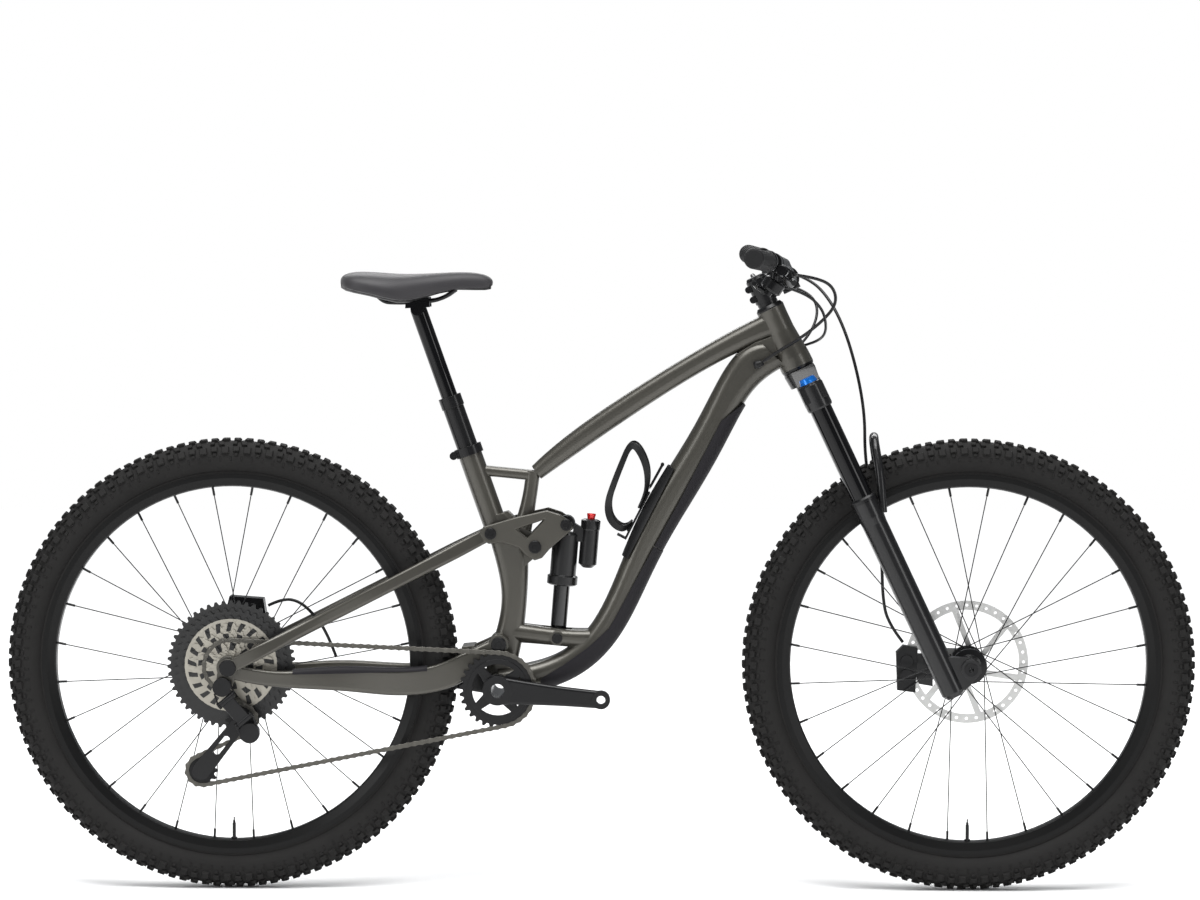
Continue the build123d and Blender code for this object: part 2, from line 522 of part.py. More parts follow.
# ================= Seatstays =================
STAY_WAY = (at(REAR_AXLE) - at(STAY_PIVOT)).normalized()
SEATSTAY = [  # distance from the upper eye, y, width, depth
    (4, 25.6, 9.6, 22), (28, 25.6, 9.6, 23), (75, 38, 13, 24), (118, 46.5, 14, 23), (250, 59, 14, 22), (395, 76.5, 12, 22),
    (430, 84.9, 7.6, 22), (452, 86.1, 6.2, 22), (466, 86.1, 6.2, 22)]
LOOSE = 3.3  # radial clearance of a pivot left open

with BuildPart() as seatstays:
    for side in (-1, 1):
        lofted([(at(STAY_PIVOT, side * y) + STAY_WAY * along, STAY_WAY, width, depth)
                for along, y, width, depth in SEATSTAY])
        rod(at(STAY_PIVOT, side * 20.8), at(STAY_PIVOT, side * 30.4), 13)
        rod(at(REAR_AXLE, side * 82.6), at(REAR_AXLE, side * STAY_EYE_OUT), 15)
    brace = at(STAY_PIVOT) + STAY_WAY * 88
    rod(brace - SIDEWAYS * 34, brace + SIDEWAYS * 34, 7)
    rod(at(STAY_PIVOT, -40), at(STAY_PIVOT, 40), 4.5 + LOOSE, mode=Mode.SUBTRACT)
    rod(at(REAR_AXLE, -95), at(REAR_AXLE, 95), PIVOT_SLEEVE + RUNNING, mode=Mode.SUBTRACT)
seatstays.part.label = "seatstays"
export_step(seatstays.part, "parts/seatstays.step")

# ================= Rocker =================
ROCKER_OUTLINE = [
    (-190, 577), (-197, 589), (-190, 600), (-135, 616), (-86, 627), (-64, 620), (-45, 607), (-43, 597),
    (-82, 563), (-94, 549), (-106, 545), (-119, 552), (-132, 565), (-159, 574), (-181, 572)]
ROCKER_WINDOW = [(-136, 596), (-90, 612), (-118, 582)]
ROCKER_IN, ROCKER_OUT = 31.5, 40.0

with BuildPart() as rocker_link:
    for side in (-1, 1):
        low, high = sorted((side * ROCKER_IN, side * ROCKER_OUT))
        plate(ROCKER_OUTLINE, low, high)
        plate(ROCKER_WINDOW, low, high, mode=Mode.SUBTRACT)
    chamfer(rocker_link.edges().filter_by(GeomType.LINE).filter_by(Axis.Y, reverse=True)
            .group_by(Axis.Y)[0], 1.5)
    chamfer(rocker_link.edges().filter_by(GeomType.LINE).filter_by(Axis.Y, reverse=True)
            .group_by(Axis.Y)[-1], 1.5)
    rod(at(ROCKER_PIVOT, -50), at(ROCKER_PIVOT, 50), PIVOT_BORE + RUNNING, mode=Mode.SUBTRACT)
    rod(at(STAY_PIVOT, -50), at(STAY_PIVOT, 50), 4.5, mode=Mode.SUBTRACT)
    rod(at(SHOCK_TOP, -50), at(SHOCK_TOP, 50), 5, mode=Mode.SUBTRACT)
rocker_link.part.label = "rocker_link"
export_step(rocker_link.part, "parts/rocker_link.step")

with BuildPart() as rocker_hardware:
    for side in (-1, 1):
        rod(at(STAY_PIVOT, side * 20.6), at(STAY_PIVOT, side * ROCKER_OUT), 4.5)
        rod(at(STAY_PIVOT, side * ROCKER_OUT), at(STAY_PIVOT, side * 43), 9.5)
        rod(at(SHOCK_TOP, side * ROCKER_OUT), at(SHOCK_TOP, side * 43), 9.5)
        ring(at(SHOCK_TOP, side * 12.8), at(SHOCK_TOP, side * ROCKER_IN), 8.5, 5)
    rod(at(SHOCK_TOP, -ROCKER_OUT), at(SHOCK_TOP, ROCKER_OUT), 5)
rocker_hardware.part.label = "rocker_hardware"
export_step(rocker_hardware.part, "parts/rocker_hardware.step")

# ================= Shock =================
SHAFT_RADIUS = 13.5
RESERVOIR_FRONT = 39.0

with BuildPart() as shock_body:
    turned(shock(86), SHOCK_UP, [(0, SHAFT_RADIUS + RUNNING), (0, 22), (2, 25), (15, 25), (17, 21.5), (84, 21.5),
                                 (88, 18), (88, 0), (66, 0), (66, SHAFT_RADIUS + RUNNING)])
    rod(at(SHOCK_TOP, -12), at(SHOCK_TOP, 12), 13.5)
    turned(shock(118, RESERVOIR_FRONT), SHOCK_UP, [(0, 0), (0, 8), (6, 15), (62, 15), (64, 16), (78, 16),
                                                   (80, 12), (80, 0)])
    plate(side_points(shock(160, 10), shock(160, 36), shock(178, 36), shock(190, 12)), -10, 10)
    rod(at(SHOCK_TOP, -20), at(SHOCK_TOP, 20), 5 + LOOSE, mode=Mode.SUBTRACT)
shock_body.part.label = "shock_body"
export_step(shock_body.part, "parts/shock_body.step")

with BuildPart() as shock_shaft:
    turned(shock(8), SHOCK_UP, [(0, 0), (0, 10), (12, SHAFT_RADIUS), (89, SHAFT_RADIUS), (89, 0)])
    rod(at(SHOCK_BOTTOM, -12), at(SHOCK_BOTTOM, 12), 12)
    rod(at(SHOCK_BOTTOM, -20), at(SHOCK_BOTTOM, 20), 5 + RUNNING, mode=Mode.SUBTRACT)
shock_shaft.part.label = "shock_shaft"
export_step(shock_shaft.part, "parts/shock_shaft.step")

DIAL_FROM = shock(198.3, RESERVOIR_FRONT)
with BuildPart() as shock_dial:
    turned(DIAL_FROM, SHOCK_UP, [(0, 0), (0, 6), (8, 7.5), (9, 7), (9, 0)])
shock_dial.part.label = "shock_dial"
export_step(shock_dial.part, "parts/shock_dial.step")

# ================= Fork =================
LEG_Y, LEG_FRONT = LEG_SPACING / 2, 5.0
STEERER_RADIUS = 14.3
CROWN_TOP, LOWERS_TOP, LOWERS_END = 4.6, 243.0, 594.0
BORE_END, STANCHION_END = 565.0, 405.0
CROWN_HALF = [(27, 5), (47, 30.3), (84, 31), (84, 60), (46, 60), (40, 44), (30, 34)]

with BuildPart() as fork_crown:
    ring(steer(-HEAD_LENGTH - 52), steer(20), STEERER_RADIUS, 12)
    crown_plane = Plane(origin=steer(0, -15), x_dir=(0, 1, 0), z_dir=STEER_FRONT)
    with BuildSketch(crown_plane) as crown_face:
        with BuildLine():
            right = [(-y, -along) for y, along in CROWN_HALF]
            left = [(y, -along) for y, along in reversed(CROWN_HALF)]
            Polyline(*right, *left, close=True)
        make_face()
    extrude(crown_face.sketch, amount=40)
    turned(steer(CROWN_TOP), STEER_DOWN, [(0, 0), (0, 26), (6, 27), (26, 25), (26, 0)])
    for side in (-1, 1):
        turned(steer(30, LEG_FRONT, side * LEG_Y), STEER_DOWN,
               [(0, 0), (0, 17), (4, 21.5), (42, 21.5), (45, 20.5), (45, 0)])
        rod(steer(34, LEG_FRONT, side * LEG_Y), steer(90, LEG_FRONT, side * LEG_Y), STANCHION_RADIUS,
            mode=Mode.SUBTRACT)
    turned(steer(22, LEG_FRONT, LEG_Y), STEER_DOWN, [(0, 0), (0, 11), (2, 13), (8, 13), (8, 0)])
    rod(steer(-HEAD_LENGTH - 60), steer(2), 12, mode=Mode.SUBTRACT)
fork_crown.part.label = "fork_crown"
export_step(fork_crown.part, "parts/fork_crown.step")

with BuildPart() as fork_stanchions:
    for side in (-1, 1):
        ring(steer(34, LEG_FRONT, side * LEG_Y), steer(STANCHION_END, LEG_FRONT, side * LEG_Y),
             STANCHION_RADIUS, 15)
fork_stanchions.part.label = "fork_stanchions"
export_step(fork_stanchions.part, "parts/fork_stanchions.step")

with BuildPart() as fork_dial:
    turned(steer(20, LEG_FRONT, -LEG_Y), STEER_DOWN,
           [(0, 0), (0, 10), (1, 13), (5, 14), (9.7, 15.5), (9.7, 0)])
fork_dial.part.label = "fork_dial"
export_step(fork_dial.part, "parts/fork_dial.step")

DROPOUT_OUTLINE = [(536, -12), (530, 22), (545, 52), (556, 63), (575, 61), (588, 30), (594, -8)]
with BuildPart() as fork_lowers:
    for side in (-1, 1):
        turned(steer(LOWERS_TOP, LEG_FRONT, side * LEG_Y), STEER_DOWN,
               [(0, 0), (0, 21.5), (28, 21.5), (40, 20.3), (LOWERS_END - LOWERS_TOP - 8, 20.3),
                (LOWERS_END - LOWERS_TOP, 14), (LOWERS_END - LOWERS_TOP, 0)])
        low, high = sorted((side * 55.2, side * 78))
        plate(side_points(*[steer(along, front) for along, front in DROPOUT_OUTLINE]), low, high)
        rod(at(FRONT_AXLE, side * 55.2), at(FRONT_AXLE, side * 85), 16)
    hose([steer(272, 25, -62), steer(215, 47, -59), steer(163, 62, -36), steer(156, 66, 0), steer(163, 62, 36),
          steer(215, 47, 59), steer(272, 25, 62)], 7)
    plate([(514, 336), (550, 330), (550, 384), (514, 384)], 50, 62)
    for side in (-1, 1):
        rod(steer(LOWERS_TOP - 20, LEG_FRONT, side * LEG_Y), steer(BORE_END, LEG_FRONT, side * LEG_Y),
            STANCHION_RADIUS + RUNNING, mode=Mode.SUBTRACT)
    rod(at(FRONT_AXLE, -95), at(FRONT_AXLE, 95), FRONT_AXLE_RADIUS, mode=Mode.SUBTRACT)
fork_lowers.part.label = "fork_lowers"
export_step(fork_lowers.part, "parts/fork_lowers.step")

with BuildPart() as fork_seals:
    for side in (-1, 1):
        turned(steer(LOWERS_TOP - 8, LEG_FRONT, side * LEG_Y), STEER_DOWN,
               [(0, STANCHION_RADIUS + RUNNING), (0, 19.5), (3, 22.3), (8, 22.3), (8, STANCHION_RADIUS + RUNNING)])
fork_seals.part.label = "fork_seals"
export_step(fork_seals.part, "parts/fork_seals.step")

with BuildPart() as front_axle:
    turned(at(FRONT_AXLE, -88), SIDEWAYS,
           [(0, 4), (0, 11), (3, 11), (3, FRONT_AXLE_RADIUS), (176, FRONT_AXLE_RADIUS), (176, 4)])
front_axle.part.label = "front_axle"
export_step(front_axle.part, "parts/front_axle.step")

with BuildPart() as front_caliper:
    plate([(490, 326), (520, 322), (524, 396), (500, 400), (488, 388)], 27, 50)
    rod(at((506, 349), 23), at((506, 349), 27), 12)
    rod(at((506, 374), 23), at((506, 374), 27), 10.5)
    rod(at(FRONT_AXLE, FRONT_ROTOR_Y - CALIPER_SLOT), at(FRONT_AXLE, FRONT_ROTOR_Y + CALIPER_SLOT),
        FRONT_ROTOR_RADIUS + 3, mode=Mode.SUBTRACT)
front_caliper.part.label = "front_caliper"
export_step(front_caliper.part, "parts/front_caliper.step")

# ================= Cockpit =================
STEM_LENGTH = 45.0
BAR_CENTRE = HEAD_TOP - STEER_DOWN * 33.6 + STEER_FRONT * STEM_LENGTH
BAR_KNEE, BAR_END = Vector(298, 110, 1029), Vector(247, BAR_WIDTH / 2, 1042)
LEVER_WAY = Vector(cos(radians(35)), 0, -sin(radians(35)))
LEVER_UP = Vector(sin(radians(35)), 0, cos(radians(35)))


def bar_point(y, out=0.0, up=0.0):
    """A point beside the handlebar at a given Y, moved along the lever's reach and above it."""
    share = (abs(y) - BAR_KNEE.Y) / (BAR_END.Y - BAR_KNEE.Y)
    middle = BAR_KNEE + (BAR_END - BAR_KNEE) * share
    return Vector(middle.X, y, middle.Z) + LEVER_WAY * out + LEVER_UP * up


with BuildPart() as stem:
    low, high = HEAD_TOP - STEER_DOWN * 14, HEAD_TOP - STEER_DOWN * 54
    rod(low, high, 18.5)
    middle = HEAD_TOP - STEER_DOWN * 33.8
    lofted([(middle, STEER_FRONT, 35, 38), (middle + STEER_FRONT * 20, STEER_FRONT, 35, 30),
            (middle + STEER_FRONT * 34, STEER_FRONT, 46, 34)])
    rod(BAR_CENTRE - SIDEWAYS * 24, BAR_CENTRE + SIDEWAYS * 24, 20.5)
    for lift in (-9, 9):
        lobe = middle + STEER_DOWN * lift - STEER_FRONT * 19.5
        rod(lobe - SIDEWAYS * 13, lobe + SIDEWAYS * 13, 5.5)
    for y in (-16, 16):
        for lift in (-17, 17):
            bolt = BAR_CENTRE + STEER_DOWN * lift + SIDEWAYS * y
            rod(bolt - STEER_FRONT * 14, bolt + STEER_FRONT * 15, 4.6)
    rod(low + STEER_DOWN * 2, high - STEER_DOWN * 2, STEERER_RADIUS, mode=Mode.SUBTRACT)
    rod(BAR_CENTRE - SIDEWAYS * 60, BAR_CENTRE + SIDEWAYS * 60, BAR_CLAMP_RADIUS, mode=Mode.SUBTRACT)
    ring(HEAD_TOP - STEER_DOWN * 7.6, HEAD_TOP - STEER_DOWN * 14, 17, STEERER_RADIUS)
    turned(HEAD_TOP - STEER_DOWN * 54, -STEER_DOWN, [(0, 0), (0, 17.5), (4, 16), (5, 14), (5, 0)])
stem.part.label = "stem"
export_step(stem.part, "parts/stem.step")

with BuildPart() as handlebar:
    rod(BAR_CENTRE - SIDEWAYS * 42, BAR_CENTRE + SIDEWAYS * 42, BAR_CLAMP_RADIUS)
    for side in (-1, 1):
        foot = BAR_CENTRE + SIDEWAYS * side * 42
        knee = Vector(BAR_KNEE.X, side * BAR_KNEE.Y, BAR_KNEE.Z)
        end = Vector(BAR_END.X, side * BAR_END.Y, BAR_END.Z)
        reach = (knee - foot).length
        turned(foot, knee - foot, [(-6, 0), (-6, BAR_CLAMP_RADIUS - 0.2), (0, BAR_CLAMP_RADIUS - 0.2),
                                   (reach, BAR_GRIP_RADIUS), (reach, 0)])
        turned(knee, end - knee, [(-3, 0), (-3, BAR_GRIP_RADIUS), ((end - knee).length, BAR_GRIP_RADIUS),
                                  ((end - knee).length, 0)])
handlebar.part.label = "handlebar"
export_step(handlebar.part, "parts/handlebar.step")

GRIP_LENGTH = 128.0
with BuildPart() as grips:
    for side in (-1, 1):
        end = bar_point(side * BAR_WIDTH / 2)
        way = (bar_point(side * 200) - end).normalized()
        turned(end, way, [(-3, 0), (-3, 14), (-2, 16.3), (GRIP_LENGTH - 8, 16.3), (GRIP_LENGTH - 8, 17.5),
                          (GRIP_LENGTH, 17.5), (GRIP_LENGTH, BAR_GRIP_RADIUS), (0, BAR_GRIP_RADIUS), (0, 0)])
grips.part.label = "grips"
export_step(grips.part, "parts/grips.step")

CLAMP_Y, LEVER_PIVOT_Y, LEVER_PIVOT_OUT = 216.0, 226.0, 38.5
LEVER_REACH = 92.0


def add_brake_body(side):
    """Bar clamp, master cylinder with reservoir and the two ears that hold the lever."""
    near, far = bar_point(side * (CLAMP_Y - 7)), bar_point(side * (CLAMP_Y + 7))
    ring(near, far, 16, BAR_GRIP_RADIUS)
    turned(bar_point(side * 232, 21, -1), bar_point(side * 160, 25, -1) - bar_point(side * 232, 21, -1),
           [(0, 0), (0, 8), (4, 9.5), (52, 9), (56, 6), (70, 5), (70, 0)])
    rod(bar_point(side * CLAMP_Y, 15), bar_point(side * CLAMP_Y, 21), 7)
    ear = bar_point(side * LEVER_PIVOT_Y, LEVER_PIVOT_OUT)
    for up in (-1, 1):
        foot = bar_point(side * LEVER_PIVOT_Y, 22, up * 6.7)
        rod(foot, bar_point(side * LEVER_PIVOT_Y, LEVER_PIVOT_OUT - 2, up * 6.7), 1.5)
        rod(ear + LEVER_UP * up * 5, ear + LEVER_UP * up * 8.4, 7)
    rod(ear - LEVER_UP * 8.4, ear + LEVER_UP * 8.4, 2.5)


def add_pod(side, length):
    """The housing of a thumb shifter, hung under the bar beside the brake's clamp."""
    ring(bar_point(side * 184), bar_point(side * 194), 14.5, BAR_GRIP_RADIUS)
    rod(bar_point(side * 189, 8, -13), bar_point(side * 189, 14, -24), 6)
    turned(bar_point(side * 180, 16, -30), LEVER_UP, [(-12, 0), (-12, 15), (-9, 18), (5, 18), (8, 15), (8, 0)])
    rod(bar_point(side * 180, 16, -30), bar_point(side * (180 - length), 22, -30), 7)


with BuildPart() as brake_body_right:
    add_brake_body(-1)
    add_pod(-1, 26)
brake_body_right.part.label = "brake_body_right"
export_step(brake_body_right.part, "parts/brake_body_right.step")

with BuildPart() as brake_body_left:
    add_brake_body(1)
    ring(bar_point(184), bar_point(194), 14.5, BAR_GRIP_RADIUS)
    rod(bar_point(189, 8, -13), bar_point(189, 14, -21), 5)
    turned(bar_point(186, 16, -27), LEVER_UP, [(-8, 0), (-8, 10), (7, 10), (7, 0)])
    rod(bar_point(186, 16, -27), bar_point(160, 20, -27), 5)
brake_body_left.part.label = "brake_body_left"
export_step(brake_body_left.part, "parts/brake_body_left.step")


def add_brake_lever(side):
    """A brake lever blade with its pivot barrel, hooked at the tip."""
    pivot = bar_point(side * LEVER_PIVOT_Y, LEVER_PIVOT_OUT)
    ring(pivot - LEVER_UP * 4.8, pivot + LEVER_UP * 4.8, 6.5, 2.5 + RUNNING)
    hose([bar_point(side * (LEVER_PIVOT_Y + 5.5), LEVER_PIVOT_OUT + 3), bar_point(side * 252, 50),
          bar_point(side * 288, 53), bar_point(side * (LEVER_PIVOT_Y + LEVER_REACH), 62)], 4.4)


with BuildPart() as brake_lever_right:
    add_brake_lever(-1)
brake_lever_right.part.label = "brake_lever_right"
export_step(brake_lever_right.part, "parts/brake_lever_right.step")

with BuildPart() as brake_lever_left:
    add_brake_lever(1)
brake_lever_left.part.label = "brake_lever_left"
export_step(brake_lever_left.part, "parts/brake_lever_left.step")

SHIFT_PIVOT = bar_point(-180, 16, -50)
DROPPER_PIVOT = bar_point(186, 16, -43)


def add_paddle(pivot, side):
    """A thumb paddle on its pivot, reaching under the grip."""
    turned(pivot, LEVER_UP, [(0, 0), (0, 7), (7, 7), (7, 0)])
    hose([pivot + LEVER_UP * 2 - LEVER_WAY * 4, pivot + LEVER_UP * 2 - LEVER_WAY * 20 + SIDEWAYS * side * 8,
          pivot + LEVER_UP * 4 - LEVER_WAY * 27 + SIDEWAYS * side * 38], 4)


with BuildPart() as shift_lever:
    add_paddle(SHIFT_PIVOT, -1)
shift_lever.part.label = "shift_lever"
export_step(shift_lever.part, "parts/shift_lever.step")

with BuildPart() as dropper_lever:
    add_paddle(DROPPER_PIVOT, 1)
dropper_lever.part.label = "dropper_lever"
export_step(dropper_lever.part, "parts/dropper_lever.step")

# ================= Saddle and dropper post =================
RAIL_Y, RAIL_RADIUS = 22.0, 3.5
SADDLE = [  # x, middle z, width, height
    (-424, 1004, 84, 14), (-398, 1001, 134, 28), (-345, 998, 143, 34), (-292, 999, 82, 30), (-235, 1000, 46, 24),
    (-178, 1001, 33, 19)]

with BuildPart() as dropper_post:
    rod(seat(-30), seat(172), POST_RADIUS)
    rod(seat(172) - SIDEWAYS * 26, seat(172) + SIDEWAYS * 26, 11)
    for side in (-1, 1):
        hose([(-366, side * RAIL_Y, 979), (-352, side * RAIL_Y, 967), (-324, side * RAIL_Y, 966),
              (-270, side * RAIL_Y, 969.5), (-252, side * RAIL_Y, 976), (-237, side * RAIL_Y, 987)], RAIL_RADIUS)
        low, high = sorted((side * 14, side * 28))
        plate([(-318, 957), (-278, 959), (-279, 975), (-317, 974)], low, high)
    rod(Vector(-298, -26, 980), Vector(-298, 26, 980), 4)
    plate([(-310, 970), (-286, 970), (-290, 982), (-306, 982)], -26, 26)
dropper_post.part.label = "dropper_post"
export_step(dropper_post.part, "parts/dropper_post.step")

with BuildPart() as saddle:
    lofted([(Vector(x, 0, z), Vector(1, 0, 0), width, height) for x, z, width, height in SADDLE], corner=0.46)
    add(dropper_post.part, mode=Mode.SUBTRACT)
saddle.part.label = "saddle"
export_step(saddle.part, "parts/saddle.step")

# ================= Crank and chainring =================
CRANK_WAY = Vector(cos(radians(CRANK_TILT)), 0, -sin(radians(CRANK_TILT)))
SPINDLE_RADIUS, SPINDLE_BORE = 15.0, 11.5
ARM_IN, PEDAL_IN, PEDAL_OUT, PEDAL_HOLE = 58.0, 71.5, 85.0, 7.1
TOOTH_HALF, CHAIN_PLATE_IN, CHAIN_PLATE_OUT, CHAIN_HALF_HEIGHT = 0.9, 1.1, 2.5, 4.2


def toothed(teeth, phase=0.0):
    """Corner points of a sprocket's toothed edge about its own centre."""
    reach = pitch_radius(teeth)
    step = 2 * pi / teeth
    corners = []
    for index in range(teeth):
        turn = phase + index * step
        for share, radius in ((-0.36, reach - 3.2), (-0.14, reach + 2.4), (0.14, reach + 2.4), (0.36, reach - 3.2)):
            corners.append((radius * cos(turn + share * step), radius * sin(turn + share * step)))
    return corners


def sprocket(centre, y, teeth, inner, phase=0.0, half=TOOTH_HALF):
    """A flat toothed ring centred on a Y value."""
    face = Plane(origin=at(centre, y + half), x_dir=(1, 0, 0), z_dir=(0, -1, 0))
    with BuildSketch(face) as disc:
        with BuildLine():
            Polyline(*toothed(teeth, phase), close=True)
        make_face()
        Circle(inner, mode=Mode.SUBTRACT)
    extrude(disc.sketch, amount=2 * half)


with BuildPart() as crank_arms:
    rod(at(BOTTOM_BRACKET, -66), at(BOTTOM_BRACKET, 66), SPINDLE_RADIUS)
    for side, way in ((-1, CRANK_WAY), (1, -CRANK_WAY)):
        lofted([(at(BOTTOM_BRACKET, side * 65) + way * 4, way, 14, 46),
                (at(BOTTOM_BRACKET, side * 67) + way * 45, way, 14, 39),
                (at(BOTTOM_BRACKET, side * 74) + way * 120, way, 14, 31),
                (at(BOTTOM_BRACKET, side * 78) + way * 166, way, 13, 29)], corner=0.36)
        rod(at(BOTTOM_BRACKET, side * ARM_IN), at(BOTTOM_BRACKET, side * 73), 24)
        pedal = at(BOTTOM_BRACKET) + way * CRANK_LENGTH
        rod(pedal + SIDEWAYS * side * PEDAL_IN, pedal + SIDEWAYS * side * PEDAL_OUT, 15)
        rod(pedal + SIDEWAYS * side * 60, pedal + SIDEWAYS * side * 95, PEDAL_HOLE, mode=Mode.SUBTRACT)
    rod(at(BOTTOM_BRACKET, -90), at(BOTTOM_BRACKET, 90), SPINDLE_BORE, mode=Mode.SUBTRACT)
crank_arms.part.label = "crank_arms"
export_step(crank_arms.part, "parts/crank_arms.step")

WEB_LOW, WEB_HIGH, WEB_RIM = CHAIN_LINE - 2.6, CHAIN_LINE + 1.4, 42.0
with BuildPart() as chainring:
    sprocket(BOTTOM_BRACKET, CHAIN_LINE, RING_TEETH, WEB_RIM + 3, phase=-radians(CRANK_TILT))
    ring(at(BOTTOM_BRACKET, WEB_LOW), at(BOTTOM_BRACKET, WEB_HIGH), WEB_RIM + 8, WEB_RIM)
    ring(at(BOTTOM_BRACKET, -ARM_IN), at(BOTTOM_BRACKET, CHAIN_LINE + 2.5), 25, SPINDLE_RADIUS)
    for arm in range(4):
        turn = radians(45 - CRANK_TILT + 90 * arm)
        out = Vector(cos(turn), 0, sin(turn))
        lofted([(at(BOTTOM_BRACKET, CHAIN_LINE - 0.6) + out * 20, out, 4, 20),
                (at(BOTTOM_BRACKET, CHAIN_LINE - 0.6) + out * (WEB_RIM + 3), out, 4, 13)], corner=0.3)
chainring.part.label = "chainring"
export_step(chainring.part, "parts/chainring.step")

# ================= Cassette =================
CASSETTE_BORE = FREEHUB_RADIUS + 0.08
COG_COUNT = len(COG_TEETH)
CHAIN_COG = COG_TEETH.index(CHAIN_COG_TEETH)
SPIDER_Y = CHAIN_LINE + (COG_COUNT - 1 - CHAIN_COG) * COG_PITCH


def cog_y(index):
    """The Y of a cog, counted from the smallest."""
    return CHAIN_LINE + (index - CHAIN_COG) * COG_PITCH


def cog_inner(index):
    """The inner radius of a cog, just inside the next smaller one's teeth."""
    return pitch_radius(COG_TEETH[index - 1]) - 9 if index > 2 else 13.0


def add_cogs(indices):
    for index in indices:
        sprocket(REAR_AXLE, cog_y(index), COG_TEETH[index], cog_inner(index), phase=index * 0.21)
        if index:
            ring(at(REAR_AXLE, cog_y(index) - TOOTH_HALF), at(REAR_AXLE, cog_y(index - 1) + TOOTH_HALF),
                 cog_inner(index) + 2.5, cog_inner(index))


with BuildPart() as cassette:
    add_cogs(range(COG_COUNT))
    ring(at(REAR_AXLE, -73), at(REAR_AXLE, cog_y(0) + TOOTH_HALF), 15, CASSETTE_BORE)
    ring(at(REAR_AXLE, cog_y(0) + TOOTH_HALF), at(REAR_AXLE, cog_y(2)), 13.5, CASSETTE_BORE)
    ring(at(REAR_AXLE, SPIDER_Y - 3), at(REAR_AXLE, SPIDER_Y + 3), 19, CASSETTE_BORE)
    for arm in range(8):
        turn = arm * pi / 4
        out = Vector(cos(turn), 0, sin(turn))
        lofted([(at(REAR_AXLE, SPIDER_Y) + out * 16, out, 3, 12),
                (at(REAR_AXLE, SPIDER_Y) + out * (cog_inner(COG_COUNT - 1) + 3), out, 1.8, 9)], corner=0.3)
cassette.part.label = "cassette"
export_step(cassette.part, "parts/cassette.step")

# ================= Chain =================
LEFT_TURN, RIGHT_TURN = 1, -1
CHAIN_WRAP = [  # centre, teeth, turning sense seen from the drive side
    (BOTTOM_BRACKET, RING_TEETH, LEFT_TURN), (REAR_AXLE, CHAIN_COG_TEETH, LEFT_TURN),
    (GUIDE_PULLEY, PULLEY_TEETH, RIGHT_TURN), (TENSION_PULLEY, PULLEY_TEETH, LEFT_TURN)]


def belt_angles():
    """The direction of each straight run between neighbouring sprockets, in radians."""
    angles = []
    count = len(CHAIN_WRAP)
    for index in range(count):
        (x1, z1), teeth1, sense1 = CHAIN_WRAP[index]
        (x2, z2), teeth2, sense2 = CHAIN_WRAP[(index + 1) % count]
        offset_apart = sense2 * pitch_radius(teeth2) - sense1 * pitch_radius(teeth1)
        distance = hypot(x2 - x1, z2 - z1)
        run = sqrt(distance ** 2 - offset_apart ** 2)
        angles.append(atan2(z2 - z1, x2 - x1) - atan2(offset_apart, run))
    return angles


def belt_face(lift):
    """Draw the closed chain line, moved outwards from its pitch line by a lift."""
    angles = belt_angles()
    ends = []
    for index, ((x, z), teeth, sense) in enumerate(CHAIN_WRAP):
        radius = pitch_radius(teeth) + sense * lift
        arrive, leave = angles[index - 1], angles[index]
        if sense == LEFT_TURN:
            while leave <= arrive:
                leave += 2 * pi
        else:
            while leave >= arrive:
                leave -= 2 * pi
        start = degrees_of(arrive - sense * pi / 2)
        size = degrees_of(leave - arrive)
        arc = CenterArc((x, z), radius, start, size)
        ends.append((arc @ 0, arc @ 1))
    for index, (start, end) in enumerate(ends):
        Line(end, ends[(index + 1) % len(ends)][0])


def degrees_of(angle):
    return angle * 180 / pi


with BuildPart() as chain:
    for side in (-1, 1):
        high = CHAIN_LINE + (CHAIN_PLATE_OUT if side > 0 else -CHAIN_PLATE_IN)
        with BuildSketch(Plane.XZ.offset(-high)) as outline:
            with BuildLine():
                belt_face(CHAIN_HALF_HEIGHT)
            make_face()
            with BuildLine():
                belt_face(-CHAIN_HALF_HEIGHT)
            make_face(mode=Mode.SUBTRACT)
        extrude(outline.sketch, amount=CHAIN_PLATE_OUT - CHAIN_PLATE_IN)
chain.part.label = "chain"
export_step(chain.part, "parts/chain.step")

# ================= Derailleur =================
LINK_TOP, LINK_LOW = Vector(-607, -92, 320), Vector(-579, -82, 286)
LINK_AXIS = (LINK_LOW - LINK_TOP).cross(SIDEWAYS).normalized()
LINK_HALF, LINK_PIN = 13.0, 2.1
PULLEY_BOLT, PULLEY_BORE = 2.5, 2.5 + RUNNING
CAGE_OUTER, CAGE_INNER, CAGE_PLATE = -59.4, -46.4, 2.0
KNUCKLE_IN = -62.0


def add_ears(centre, root, ear_radius=6.0):
    """Two ears and a pin on the link's axis, tied to a knuckle's root point."""
    for end in (-1, 1):
        near = centre + LINK_AXIS * end * (LINK_HALF + 0.6)
        far = centre + LINK_AXIS * end * (LINK_HALF + 3.6)
        rod(near, far, ear_radius)
        rod(far, root + LINK_AXIS * end * (LINK_HALF + 3.4), 1.45)
    rod(centre - LINK_AXIS * (LINK_HALF + 1), centre + LINK_AXIS * (LINK_HALF + 1), LINK_PIN)


with BuildPart() as derailleur_mount:
    rod(at(MOUNT_KNUCKLE, -95), at(MOUNT_KNUCKLE, -82.3), 15.3)
    add_ears(LINK_TOP, at(MOUNT_KNUCKLE, -90))
derailleur_mount.part.label = "derailleur_mount"
export_step(derailleur_mount.part, "parts/derailleur_mount.step")

